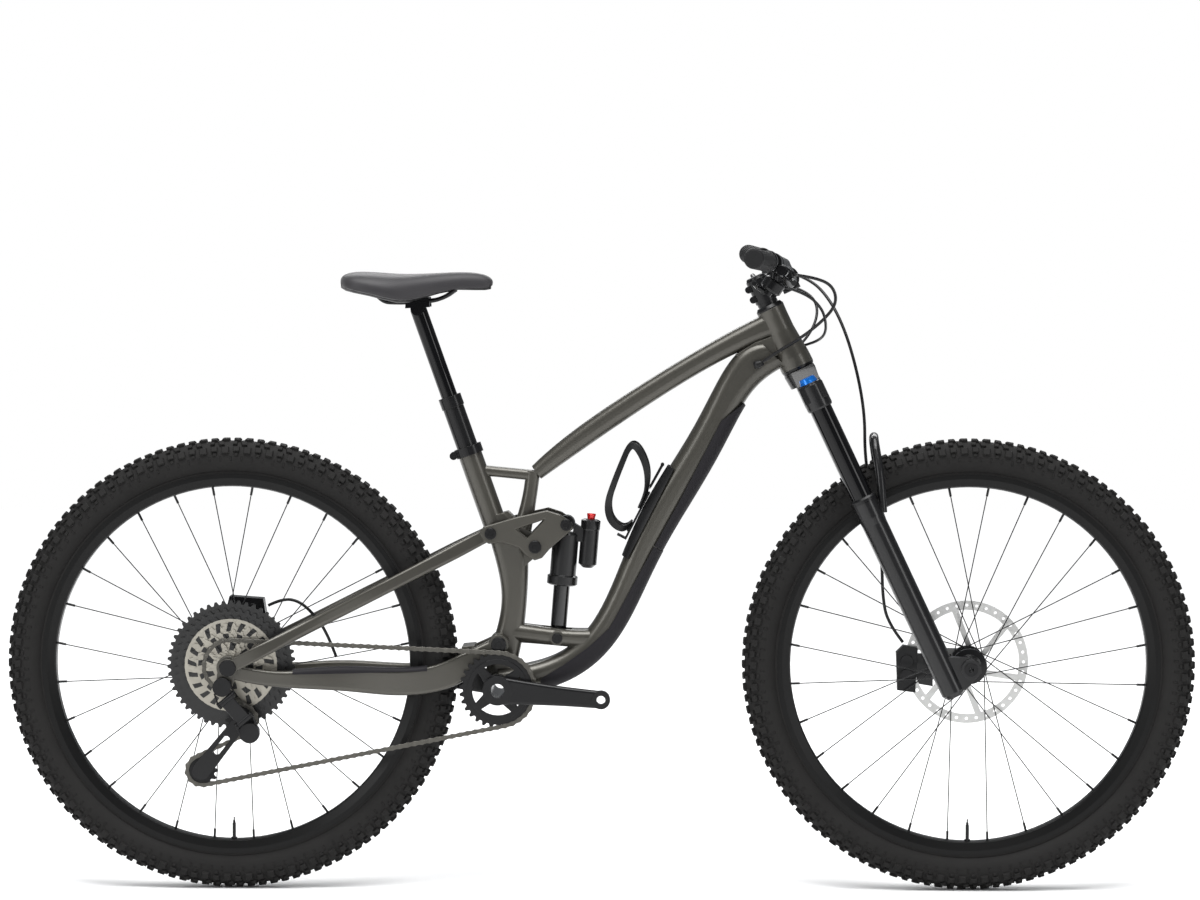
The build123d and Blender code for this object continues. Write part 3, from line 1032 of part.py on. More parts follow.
with BuildPart() as derailleur_link:
    way = (LINK_LOW - LINK_TOP).normalized()
    lofted([(LINK_TOP + way * 4, way, 6, 24), (LINK_LOW - way * 4, way, 6, 24)])
    for end in (LINK_TOP, LINK_LOW):
        rod(end - LINK_AXIS * LINK_HALF, end + LINK_AXIS * LINK_HALF, 5.2)
    for end in (LINK_TOP, LINK_LOW):
        rod(end - LINK_AXIS * 20, end + LINK_AXIS * 20, LINK_PIN + 3 * RUNNING, mode=Mode.SUBTRACT)
derailleur_link.part.label = "derailleur_link"
export_step(derailleur_link.part, "parts/derailleur_link.step")

with BuildPart() as derailleur_knuckle:
    rod(at(CAGE_PIVOT, -78), at(CAGE_PIVOT, KNUCKLE_IN), 16.5)
    add_ears(LINK_LOW, at(CAGE_PIVOT, -74))
derailleur_knuckle.part.label = "derailleur_knuckle"
export_step(derailleur_knuckle.part, "parts/derailleur_knuckle.step")

with BuildPart() as derailleur_cage:
    for y, hole in ((CAGE_OUTER, 0), (CAGE_INNER, 6)):
        with BuildSketch(Plane.XZ.offset(-y)) as cage_face:
            with Locations(GUIDE_PULLEY):
                Circle(12)
            with Locations(TENSION_PULLEY):
                Circle(15)
            make_hull()
            if hole == 0:
                with Locations(CAGE_PIVOT):
                    Circle(15)
        extrude(cage_face.sketch, amount=CAGE_PLATE)
    for centre in (GUIDE_PULLEY, TENSION_PULLEY):
        rod(at(centre, CAGE_OUTER), at(centre, CAGE_INNER), PULLEY_BOLT)
    middle = ((GUIDE_PULLEY[0] + TENSION_PULLEY[0]) / 2, (GUIDE_PULLEY[1] + TENSION_PULLEY[1]) / 2)
    with BuildSketch(Plane.XZ.offset(70)) as window:
        with Locations(Location((middle[0], middle[1], 0), (0, 0, degrees_of(atan2(83, 66))))):
            SlotOverall(38, 11)
    extrude(window.sketch, amount=-40, mode=Mode.SUBTRACT)
derailleur_cage.part.label = "derailleur_cage"
export_step(derailleur_cage.part, "parts/derailleur_cage.step")


def add_pulley(centre):
    sprocket(centre, CHAIN_LINE, PULLEY_TEETH, PULLEY_BORE)
    ring(at(centre, CHAIN_LINE - 4.5), at(centre, CHAIN_LINE + 4.2), 8, PULLEY_BORE)


with BuildPart() as guide_pulley:
    add_pulley(GUIDE_PULLEY)
guide_pulley.part.label = "guide_pulley"
export_step(guide_pulley.part, "parts/guide_pulley.step")

with BuildPart() as tension_pulley:
    add_pulley(TENSION_PULLEY)
tension_pulley.part.label = "tension_pulley"
export_step(tension_pulley.part, "parts/tension_pulley.step")

# ================= Hoses and cables =================
HOSE_RADIUS, HOUSING_RADIUS = 2.6, 2.3
FRONT_HOSE = [  # left master cylinder, round the front, inside the left leg, to the front caliper
    (312, 158, 1014), (346, 142, 1004), (378, 110, 972), (404, 84, 920), (424, 60, 850), (436, 48, 780),
    (436, 44, 714), (446, 42, 652), (459, 41, 592), (465, 40, 532), (466, 40, 482), (474, 41, 437),
    (500, 43, 404)]
REAR_HOSE = [  # right master cylinder, out in a loop, back to the head tube's right side
    (312, -158, 1014), (346, -142, 1010), (378, -108, 996), (386, -76, 966), (362, -54, 936), (326, -42, 908),
    (286, -34, 884), (260, -30, 866)]
SHIFT_HOUSING = [  # round the front of the head tube to its left side
    (300, -150, 994), (334, -136, 984), (360, -108, 960), (368, -76, 936), (368, -40, 916), (358, 0, 904),
    (338, 28, 896), (312, 38, 888), (284, 36, 880), (262, 31, 874)]
DROPPER_HOUSING = [
    (300, 150, 996), (334, 136, 986), (358, 110, 966), (358, 84, 936), (338, 62, 902), (308, 48, 878),
    (280, 36, 862), (262, 30, 850)]
REAR_TAIL = [(-552, 52, 462), (-528, 48, 474), (-500, 46, 470), (-474, 46, 446),
             (-453, 49, 414), (-440, 57, 376)]

for name, points, radius in (("front_brake_hose", FRONT_HOSE, HOSE_RADIUS),
                             ("rear_brake_hose", REAR_HOSE, HOSE_RADIUS),
                             ("shift_housing", SHIFT_HOUSING, HOUSING_RADIUS),
                             ("dropper_housing", DROPPER_HOUSING, HOUSING_RADIUS),
                             ("rear_brake_tail", REAR_TAIL, HOSE_RADIUS)):
    with BuildPart() as cable:
        hose(points, radius)
    cable.part.label = name
    export_step(cable.part, f"parts/{name}.step")
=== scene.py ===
import json
from math import atan2, cos, hypot, pi, radians, sin, sqrt

import bpy
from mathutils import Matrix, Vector


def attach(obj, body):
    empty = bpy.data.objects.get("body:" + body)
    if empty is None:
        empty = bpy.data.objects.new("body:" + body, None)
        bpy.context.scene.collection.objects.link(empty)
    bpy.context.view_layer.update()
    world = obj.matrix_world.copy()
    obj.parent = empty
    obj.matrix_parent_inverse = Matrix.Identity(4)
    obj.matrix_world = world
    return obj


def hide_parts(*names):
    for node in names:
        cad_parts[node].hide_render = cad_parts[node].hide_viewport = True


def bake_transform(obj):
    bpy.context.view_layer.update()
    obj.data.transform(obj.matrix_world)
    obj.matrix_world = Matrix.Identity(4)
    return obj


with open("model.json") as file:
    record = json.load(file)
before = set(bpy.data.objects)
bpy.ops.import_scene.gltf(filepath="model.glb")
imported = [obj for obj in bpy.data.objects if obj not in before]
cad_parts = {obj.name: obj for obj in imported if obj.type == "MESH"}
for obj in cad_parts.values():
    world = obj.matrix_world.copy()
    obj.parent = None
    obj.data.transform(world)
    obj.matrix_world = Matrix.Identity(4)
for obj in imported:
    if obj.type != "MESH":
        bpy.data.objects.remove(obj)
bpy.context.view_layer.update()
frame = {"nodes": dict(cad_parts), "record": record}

MM = 0.001
UP, SIDE = Vector((0, 0, 1)), Vector((0, 1, 0))


def mm(*values):
    return Vector(values) * MM


REAR_AXLE, FRONT_AXLE = mm(-605, 0, 372), mm(605, 0, 372)
WORLD_WHITE, AMBIENT, SKY_POWER = 1.0, 0.22, 3.0


# ---------------------------------------------------------------- camera, light and floor
def aim(thing, target):
    thing.rotation_mode = "QUATERNION"
    thing.rotation_quaternion = (Vector(target) - thing.location).to_track_quat("-Z", "Y")


def link(thing):
    bpy.context.scene.collection.objects.link(thing)
    return thing


camera = link(bpy.data.objects.new("camera", bpy.data.cameras.new("camera")))
camera.location = (0.1636, -7.0, 1.1095)
camera.data.sensor_width = 36
camera.data.lens = 128.1
camera.data.clip_end = 100
aim(camera, (0.0, 0.0, 0.724))
bpy.context.scene.camera = camera


def softbox(name, place, target, width, height, power, tone=(1, 1, 1)):
    lamp = bpy.data.lights.new(name, "AREA")
    lamp.shape = "RECTANGLE"
    lamp.size, lamp.size_y = width, height
    lamp.energy = power
    lamp.color = tone
    thing = link(bpy.data.objects.new(name, lamp))
    thing.location = place
    aim(thing, target)


softbox("key_above", (-0.4, -1.6, 3.6), (0, 0, 0.6), 3.4, 1.6, 95)
softbox("front_left", (-3.6, -3.4, 1.9), (0, 0, 0.6), 1.6, 2.4, 52)
softbox("front_right", (3.8, -3.0, 1.6), (0.3, 0, 0.6), 1.2, 2.4, 36)
softbox("rim_behind", (0.2, 3.2, 2.9), (0, 0, 0.6), 3.6, 1.0, 60)

sky = bpy.data.lights.new("even_sky", "SUN")  # lights the whole floor alike, out to its edge
sky.energy = SKY_POWER
sky.angle = radians(50)
overhead = link(bpy.data.objects.new("even_sky", sky))
overhead.location = (0, 0, 5)
aim(overhead, (0, 0.6, 0))

world = bpy.data.worlds.new("studio")
bpy.context.scene.world = world
world.use_nodes = True
wn, wl = world.node_tree.nodes, world.node_tree.links
backdrop, ambient = wn["Background"], wn.new("ShaderNodeBackground")
backdrop.inputs["Color"].default_value = (1.0, 1.0, 1.0, 1)
backdrop.inputs["Strength"].default_value = WORLD_WHITE
ambient.inputs["Color"].default_value = (0.93, 0.96, 1.0, 1)
ambient.inputs["Strength"].default_value = AMBIENT
ray, mixed = wn.new("ShaderNodeLightPath"), wn.new("ShaderNodeMixShader")
wl.new(ray.outputs["Is Camera Ray"], mixed.inputs["Fac"])
wl.new(ambient.outputs["Background"], mixed.inputs[1])
wl.new(backdrop.outputs["Background"], mixed.inputs[2])
wl.new(mixed.outputs["Shader"], wn["World Output"].inputs["Surface"])

bpy.context.scene.view_settings.view_transform = "Standard"


# ---------------------------------------------------------------- materials
def finish(name, colour, drift=None, rough=0.4, spread=0.06, metal=0.0, coat=0.0, coat_rough=0.08,
           specular=0.5, sheen=0.0, grain=900.0, depth=0.05, patch=9.0, soften=0.0):
    """A procedural finish: slow colour drift, and fine grain in the roughness and the bump.

    depth is the bump's height and soften the radius of the softened edges, both in millimetres."""
    material = bpy.data.materials.new(name)
    material.use_nodes = True
    nodes, links = material.node_tree.nodes, material.node_tree.links
    shader = nodes["Principled BSDF"]
    shader.inputs["Metallic"].default_value = metal
    shader.inputs["Coat Weight"].default_value = coat
    shader.inputs["Coat Roughness"].default_value = coat_rough
    shader.inputs["Specular IOR Level"].default_value = specular
    shader.inputs["Sheen Weight"].default_value = sheen
    where = nodes.new("ShaderNodeTexCoord")

    def noise(scale, detail):
        made = nodes.new("ShaderNodeTexNoise")
        made.inputs["Scale"].default_value = scale
        made.inputs["Detail"].default_value = detail
        links.new(where.outputs["Object"], made.inputs["Vector"])
        return made

    slow = noise(patch, 3)
    blend = nodes.new("ShaderNodeMix")
    blend.data_type = "RGBA"
    second = drift or tuple(c * 0.82 for c in colour)
    blend.inputs["A"].default_value = (*colour, 1)
    blend.inputs["B"].default_value = (*second, 1)
    links.new(slow.outputs["Fac"], blend.inputs["Factor"])
    links.new(blend.outputs["Result"], shader.inputs["Base Color"])
    fine = noise(grain, 4)
    span = nodes.new("ShaderNodeMapRange")
    span.inputs["To Min"].default_value = max(rough - spread, 0.02)
    span.inputs["To Max"].default_value = rough + spread
    links.new(fine.outputs["Fac"], span.inputs["Value"])
    links.new(span.outputs["Result"], shader.inputs["Roughness"])
    bump = nodes.new("ShaderNodeBump")
    bump.inputs["Strength"].default_value = 0.5
    bump.inputs["Distance"].default_value = depth * MM
    links.new(fine.outputs["Fac"], bump.inputs["Height"])
    if soften:
        rounded = nodes.new("ShaderNodeBevel")
        rounded.samples = 6
        rounded.inputs["Radius"].default_value = soften * MM
        links.new(rounded.outputs["Normal"], bump.inputs["Normal"])
    links.new(bump.outputs["Normal"], shader.inputs["Normal"])
    return material


FINISHES = {
    "frame_paint": dict(colour=(0.070, 0.066, 0.055), drift=(0.056, 0.053, 0.045), rough=0.36,
        metal=0.6, coat=0.3, coat_rough=0.16, grain=2600, depth=0.012, patch=3, soften=2.5),
    "guard_rubber": dict(colour=(0.013, 0.012, 0.0145), rough=0.6, specular=0.18, grain=1500,
        depth=0.1),
    "black_plastic": dict(colour=(0.008, 0.008, 0.0085), rough=0.42, specular=0.24, grain=1800,
        depth=0.06),
    "black_metal": dict(colour=(0.006, 0.006, 0.0065), drift=(0.009, 0.009, 0.0095), rough=0.2,
        specular=0.22, grain=2200, depth=0.02, soften=0.9),
    "fork_paint": dict(colour=(0.0065, 0.0065, 0.007), rough=0.3, specular=0.25, coat=0.3,
        coat_rough=0.1, grain=2400, depth=0.004, soften=1.5),
    "tyre": dict(colour=(0.0115, 0.011, 0.0108), drift=(0.016, 0.0155, 0.015), rough=0.72,
        specular=0.14, grain=1300, depth=0.16, patch=30),
    "rim": dict(colour=(0.004, 0.004, 0.004), rough=0.34, specular=0.18, grain=1500, depth=0.03),
    "spoke_steel": dict(colour=(0.012, 0.012, 0.0125), rough=0.3, metal=0.5, grain=1500, depth=0.02),
    "rotor_steel": dict(colour=(0.62, 0.62, 0.61), drift=(0.5, 0.5, 0.49), rough=0.3, metal=0.85,
        grain=600, depth=0.03, patch=60),
    "cassette_steel": dict(colour=(0.42, 0.40, 0.345), drift=(0.33, 0.31, 0.27), rough=0.34, metal=0.8,
        grain=800, depth=0.03, patch=40),
    "chain_steel": dict(colour=(0.115, 0.11, 0.097), drift=(0.075, 0.072, 0.064), rough=0.36, metal=0.8,
        grain=900, depth=0.03, patch=120),
    "stanchion": dict(colour=(0.0025, 0.0025, 0.003), rough=0.1, spread=0.02, specular=0.2, coat=0.12,
        coat_rough=0.04, grain=400, depth=0.002),
    "shock_shaft_metal": dict(colour=(0.004, 0.004, 0.0045), rough=0.1, spread=0.03, coat=0.5,
        coat_rough=0.04, grain=400, depth=0.003),
    "saddle_cover": dict(colour=(0.026, 0.0245, 0.027), drift=(0.021, 0.020, 0.022), rough=0.48,
        specular=0.3, sheen=0.1, grain=1100, depth=0.14, patch=14),
    "grip_rubber": dict(colour=(0.010, 0.010, 0.0105), rough=0.62, specular=0.2, grain=1600,
        depth=0.14),
    "hose": dict(colour=(0.005, 0.005, 0.0055), rough=0.3, specular=0.3, grain=1200, depth=0.03),
    "blue_anodised": dict(colour=(0.0, 0.16, 0.62), drift=(0.0, 0.12, 0.5), rough=0.25, metal=0.5,
        coat=0.3, grain=1500, depth=0.02),
    "red_anodised": dict(colour=(0.62, 0.012, 0.012), drift=(0.5, 0.01, 0.01), rough=0.28, metal=0.4,
        coat=0.3, grain=1500, depth=0.02),
}
LOOKS = {name: finish(name, **settings) for name, settings in FINISHES.items()}
SLOT_OF = {part["node"]: part["material_slot"] for part in frame["record"]["subparts"]}


def paint(thing, look):
    thing.data.materials.clear()
    thing.data.materials.append(LOOKS[look])
    return thing


for node, thing in frame["nodes"].items():
    paint(thing, SLOT_OF[node])
paint(frame["nodes"]["shock_body"], "fork_paint")

BIG_COG_Y, BIG_COG_RADIUS = -0.0364, 0.076
# the real black of the largest cogs, also used as painted shade for the windows in the smaller cogs
COG_BLACK_AND_WINDOW_SHADE = (0.009, 0.009, 0.009, 1)
COG_WINDOW_SHADE = [  # painted shade in the cut-out windows: windows in a ring, inner and outer radius in metres, lean along the radius
    (9.0, 0.027, 0.039, 40.0), (14.0, 0.042, 0.053, -70.0), (21.0, 0.056, 0.071, 90.0)]


def two_tone_cassette_and_window_shade(material):
    """Black on the largest cogs, and painted shade standing in for the windows cut between the arms of the
    others.
    """
    nodes, links = material.node_tree.nodes, material.node_tree.links
    shader = nodes["Principled BSDF"]
    silver = shader.inputs["Base Color"].links[0].from_socket

    def maths(operation, first, second):
        made = nodes.new("ShaderNodeMath")
        made.operation = operation
        for socket, value in zip(made.inputs, (first, second)):
            if isinstance(value, float):
                socket.default_value = value
            else:
                links.new(value, socket)
        return made.outputs["Value"]

    place = nodes.new("ShaderNodeTexCoord")
    split = nodes.new("ShaderNodeSeparateXYZ")
    links.new(place.outputs["Object"], split.inputs["Vector"])
    x = maths("SUBTRACT", split.outputs["X"], REAR_AXLE.x)
    z = maths("SUBTRACT", split.outputs["Z"], REAR_AXLE.z)
    radius = maths("SQRT", maths("ADD", maths("MULTIPLY", x, x), maths("MULTIPLY", z, z)), 0.0)
    # painted shade where the windows between the arms would be, as the mesh has no cut-outs
    window_shade = 0.0
    for count, inner, outer, lean in COG_WINDOW_SHADE:
        turn = maths("ADD", maths("MULTIPLY", maths("ARCTAN2", z, x), count), maths("MULTIPLY", radius, lean))
        gap = maths("GREATER_THAN", maths("SINE", turn, 0.0), 0.3)
        band = maths("MULTIPLY", maths("GREATER_THAN", radius, inner),
                     maths("LESS_THAN", radius, outer))
        window_shade = maths("MAXIMUM", maths("MULTIPLY", gap, band), window_shade)
    large = maths("MAXIMUM", maths("GREATER_THAN", split.outputs["Y"], BIG_COG_Y),
                  maths("GREATER_THAN", radius, BIG_COG_RADIUS))
    # the real black of the large cogs together with the painted window shade
    black_and_window_shade = maths("MAXIMUM", large, window_shade)
    mix = nodes.new("ShaderNodeMix")
    mix.data_type = "RGBA"
    mix.inputs["B"].default_value = COG_BLACK_AND_WINDOW_SHADE
    links.new(black_and_window_shade, mix.inputs["Factor"])
    links.new(silver, mix.inputs["A"])
    links.new(mix.outputs["Result"], shader.inputs["Base Color"])
    links.new(maths("MULTIPLY", maths("SUBTRACT", 1.0, black_and_window_shade), 0.8), shader.inputs["Metallic"])


two_tone_cassette_and_window_shade(LOOKS["cassette_steel"])

LOOKS["floor"] = finish("floor", (0.93, 0.93, 0.93), (0.91, 0.91, 0.91), rough=0.75, specular=0.1, grain=60,
                        depth=0.01, patch=0.6)


# ---------------------------------------------------------------- mesh tools
def piece(name, points, faces, look, body=None, slot=None, smooth=False, replaced=()):
    mesh = bpy.data.meshes.new(name)
    mesh.from_pydata([tuple(p) for p in points], [], faces)
    mesh.validate()
    mesh.update()
    if smooth:
        for face in mesh.polygons:
            face.use_smooth = True
    thing = link(bpy.data.objects.new(name, mesh))
    paint(thing, look)
    if replaced:
        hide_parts(*replaced)
    if body:
        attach(thing, body)
    return thing


class Builder:
    """Collects points and faces of many small forms into one mesh."""

    def __init__(self):
        self.points, self.faces = [], []

    def rings(self, rings, closed=True, caps=True):
        """Joins rings of equal length into a skin."""
        start, count = len(self.points), len(rings[0])
        for one in rings:
            self.points.extend(one)
        for row in range(len(rings) - 1):
            for i in range(count if closed else count - 1):
                a = start + row * count + i
                b = start + row * count + (i + 1) % count
                self.faces.append((a, b, b + count, a + count))
        if caps:
            self.faces.append(tuple(reversed(range(start, start + count))))
            last = start + (len(rings) - 1) * count
            self.faces.append(tuple(range(last, last + count)))

    def lathe(self, origin, axis, profile, sides=32, caps=True):
        """Turns (distance, radius) pairs in millimetres about an axis."""
        way = Vector(axis).normalized()
        u = way.orthogonal().normalized()
        v = way.cross(u)
        rings = []
        for along, radius in profile:
            centre = Vector(origin) + way * along * MM
            rings.append([centre + (u * cos(2 * pi * k / sides) + v * sin(2 * pi * k / sides)) * radius * MM
                          for k in range(sides)])
        self.rings(rings, caps=caps)

    def make(self, name, look, body=None, **rest):
        return piece(name, self.points, self.faces, look, body, **rest)


# ---------------------------------------------------------------- floor
floor = Builder()
floor.rings([[Vector((x, y, 0)) for x in (-9, 9)] for y in (-8, 9)], closed=False, caps=False)
floor.make("floor", "floor", slot="tyre")

# ---------------------------------------------------------------- tyres
TREAD_ROWS = 122
CROWN, CARCASS_TALL, CARCASS_WIDE = 340.0, 27.2, 26.6


def on_tyre(axle, turn, lean, lift):
    """A point above the carcass: turn round the axle, lean across the section, lift in millimetres."""
    radius = CROWN + (CARCASS_TALL + lift) * cos(lean)
    return axle + mm(radius * cos(turn), (CARCASS_WIDE + lift) * sin(lean), radius * sin(turn))


def knob(builder, axle, turn, lean, length, width, height, skew=0.0):
    rings = []
    for size, lift in ((1.12, -0.8), (1.0, 0.5), (0.9, height - 0.6), (0.78, height)):
        ring = []
        for i, j in ((-1, -1), (1, -1), (1, 1), (-1, 1)):
            across = lean + j * width / 2 * size / CARCASS_WIDE
            round_ = turn + (i * length / 2 * size + j * skew) / 372
            ring.append(on_tyre(axle, round_, across, lift))
        rings.append(ring)
    builder.rings(rings)


def make_tyre(name, axle, body):
    tyre = Builder()
    leans = [radians(a) for a in range(-146, 147, 4)]
    section = [(CARCASS_WIDE * sin(a), CROWN + CARCASS_TALL * cos(a)) for a in leans]
    section = [(-16.6, 313.6), (-17.4, 316.0)] + section + [(17.4, 316.0), (16.6, 313.6)]
    rings = []
    steps = 240
    for k in range(steps):
        turn = 2 * pi * k / steps
        rings.append([axle + mm(r * cos(turn), y, r * sin(turn)) for y, r in section])
    rings.append(rings[0])
    tyre.rings(rings, closed=False, caps=False)
    tyre.make(name + "_carcass", "tyre", body, smooth=True)
    treads = Builder()
    for row in range(TREAD_ROWS):
        turn = 2 * pi * row / TREAD_ROWS
        half = pi / TREAD_ROWS
        for side in (-1, 1):
            if row % 2:
                knob(treads, axle, turn, side * 0.19, 12.5, 8.6, 4.8, skew=side * 0.8)
                knob(treads, axle, turn + half * 0.7, side * 0.66, 9.5, 8.0, 4.4, skew=-side * 1.0)
                knob(treads, axle, turn, side * 1.12, 12.8, 10.5, 4.6)
            else:
                knob(treads, axle, turn, side * 0.27, 11.0, 7.4, 4.8, skew=-side * 0.6)
                knob(treads, axle, turn + half * 0.3, side * 0.64, 7.5, 6.4, 4.2)
                knob(treads, axle, turn, side * 1.06, 11.2, 7.6, 4.8)
                knob(treads, axle, turn, side * 1.36, 6.5, 4.4, 2.4)
            knob(treads, axle, turn + half, side * 1.62, 3.2, 7.0, 0.6)
    treads.make(name + "_tread", "tyre", body, replaced=[name])


make_tyre("front_tyre", FRONT_AXLE, "front_wheel")
make_tyre("rear_tyre", REAR_AXLE, "rear_wheel")

for axle, body in ((FRONT_AXLE, "front_wheel"), (REAR_AXLE, "rear_wheel")):
    valve = Builder()
    foot = axle + mm(0, 0, -292)
    valve.lathe(foot, UP, [(-2, 5), (2.5, 5), (2.5, 3), (26, 3), (26, 2.2), (30, 2.2), (31, 1.2), (36, 1.2)],
                16)
    valve.make(body + "_valve", "black_metal", body)
    lock = Builder()
    side = 39 if body == "front_wheel" else 58
    lock.lathe(axle + mm(0, side + 2.2, 0), SIDE, [(0, 18), (0, 21), (1.2, 21.4), (2.4, 20.2), (2.4, 18)],
               48, caps=False)
    lock.make(body + "_lock_ring", "black_metal", body)

# ---------------------------------------------------------------- chain
CHAIN_Y, PITCH = -52.8, 12.7


def pitch_radius(teeth):
    return PITCH / 2 / sin(pi / teeth)


WRAP = [((-166, 334), pitch_radius(30), 1), ((-605, 372), pitch_radius(21), 1),
        ((-586, 283), pitch_radius(12), -1), ((-652, 200), pitch_radius(12), 1)]


def chain_route():
    """Points of the chain's line round its sprockets, close together."""
    headings = []
    for index, ((x1, z1), r1, s1) in enumerate(WRAP):
        (x2, z2), r2, s2 = WRAP[(index + 1) % len(WRAP)]
        apart = s2 * r2 - s1 * r1
        run = sqrt((x2 - x1) ** 2 + (z2 - z1) ** 2 - apart ** 2)
        headings.append(atan2(z2 - z1, x2 - x1) - atan2(apart, run))
    route = []
    for index, ((x, z), radius, sense) in enumerate(WRAP):
        arrive, leave = headings[index - 1], headings[index]
        while sense * (leave - arrive) <= 0:
            leave += sense * 2 * pi
        steps = 60
        for k in range(steps + 1):
            angle = arrive + (leave - arrive) * k / steps - sense * pi / 2
            route.append((x + radius * cos(angle), z + radius * sin(angle)))
    return route + [route[0]]


def walk(route, count):
    """Equally spaced points along a closed route."""
    lengths = [0.0]
    for (x1, z1), (x2, z2) in zip(route, route[1:]):
        lengths.append(lengths[-1] + hypot(x2 - x1, z2 - z1))
    spots, k = [], 0
    for i in range(count):
        want = lengths[-1] * i / count
        while lengths[k + 1] < want:
            k += 1
        t = (want - lengths[k]) / (lengths[k + 1] - lengths[k])
        spots.append((route[k][0] + (route[k + 1][0] - route[k][0]) * t,
                      route[k][1] + (route[k + 1][1] - route[k][1]) * t))
    return spots, lengths[-1]


route = chain_route()
_, chain_length = walk(route, 2)
LINKS = 2 * round(chain_length / PITCH / 2)
pins, _ = walk(route, LINKS)
PLATE = [(4.2 * cos(a), 4.2 * sin(a)) for a in (radians(d) for d in range(60, 301, 30))]
chain = Builder()
for i, (x, z) in enumerate(pins):
    nx, nz = pins[(i + 1) % LINKS]
    heading = atan2(nz - z, nx - x)
    gap = hypot(nx - x, nz - z)
    outline = [(px, pz) for px, pz in PLATE] + [(gap / 2, -2.9)]
    outline += [(gap - px, -pz) for px, pz in PLATE] + [(gap / 2, 2.9)]
    near, far = (1.15, 1.8) if i % 2 else (1.85, 2.5)
    for side in (-1, 1):
        rings = []
        for depth, shrink in ((near, 1.0), (far - 0.25, 1.0), (far, 0.9)):
            ring = []
            for px, pz in outline:
                px, pz = (px - gap / 2) * (0.97 if shrink < 1 else 1) + gap / 2, pz * shrink
                ring.append(mm(x + px * cos(heading) - pz * sin(heading), CHAIN_Y + side * depth,
                               z + px * sin(heading) + pz * cos(heading)))
            rings.append(ring)
        chain.rings(rings)
    chain.lathe(mm(x, CHAIN_Y - 2.75, z), SIDE, [(0, 1.2), (0.3, 1.7), (5.2, 1.7), (5.5, 1.2)], 10)
    chain.lathe(mm(x, CHAIN_Y - 1.0, z), SIDE, [(0, 3.7), (2.0, 3.7)], 12)
links_of_chain = chain.make("chain_links", "chain_steel", None, replaced=["chain"])
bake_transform(links_of_chain)  # baked in place and joined to no body

# ---------------------------------------------------------------- hoses and housings
HOSES = {  # route, diameter, bodies, and where the bend between the bodies starts and ends
    "front_brake_hose": ([
        (312, 158, 1014), (346, 142, 1004), (378, 110, 972), (404, 84, 920), (424, 60, 850), (436, 48, 780),
        (436, 44, 714), (446, 42, 652), (459, 41, 592), (465, 40, 532), (466, 40, 482), (474, 41, 437),
        (500, 43, 404)], 5.2, ("fork_upper", "fork_lowers"), ((396, 90, 940), (446, 42, 652))),
    "rear_brake_hose": ([
        (312, -158, 1014), (346, -142, 1010), (378, -108, 996), (386, -76, 966), (362, -54, 936),
        (326, -42, 908), (286, -34, 884), (260, -30, 866)], 5.2, ("fork_upper", "frame"),
        ((346, -142, 1010), (300, -38, 892))),
    "shift_housing": ([
        (300, -150, 994), (334, -136, 984), (360, -108, 960), (368, -76, 936), (368, -40, 916), (358, 0, 904),
        (338, 28, 896), (312, 38, 888), (284, 36, 880), (262, 31, 874)], 4.6, ("fork_upper", "frame"),
        ((334, -136, 984), (298, 38, 884))),
    "dropper_housing": ([
        (300, 150, 996), (334, 136, 986), (358, 110, 966), (358, 84, 936), (338, 62, 902), (308, 48, 878),
        (280, 36, 862), (262, 30, 850)], 4.6, ("fork_upper", "frame"), ((334, 136, 986), (296, 44, 872))),
    "rear_brake_tail": ([(-552, 52, 462), (-528, 48, 474), (-500, 46, 470), (-474, 46, 446),
                         (-453, 49, 414), (-440, 57, 376)], 5.2, ("swingarm",), None),
}


def centreline(name, points):
    """The smooth line through a route's control points."""
    curve = bpy.data.curves.new(name, "CURVE")
    curve.dimensions = "3D"
    curve.resolution_u = 16
    spline = curve.splines.new("NURBS")
    spline.points.add(len(points) - 1)
    for spot, point in zip(spline.points, points):
        spot.co = (*mm(*point), 1)
    spline.order_u = 3
    spline.use_endpoint_u = True
    holder = link(bpy.data.objects.new(name, curve))
    mesh = bpy.data.meshes.new_from_object(holder)
    line = [v.co.copy() for v in mesh.vertices]
    bpy.data.objects.remove(holder)
    bpy.data.meshes.remove(mesh)
    return line


def sweep(builder, line, radius, sides=14):
    """A round tube along a line, without twist."""
    normal = (line[1] - line[0]).orthogonal().normalized()
    rings = []
    for i, point in enumerate(line):
        ahead = (line[min(i + 1, len(line) - 1)] - line[max(i - 1, 0)]).normalized()
        normal = (normal - ahead * normal.dot(ahead)).normalized()
        across = ahead.cross(normal)
        rings.append([point + (normal * cos(2 * pi * k / sides) + across * sin(2 * pi * k / sides)) * radius
                      for k in range(sides)])
    builder.rings(rings)


for name, (points, diameter, bodies, bend) in HOSES.items():
    line = centreline(name, points)
    tube = Builder()
    sweep(tube, line, diameter / 2 * MM)
    thing = tube.make(name + "_tube", "hose", None, smooth=True, replaced=[name])
    if bend:
        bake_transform(thing)
    else:
        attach(thing, bodies[0])

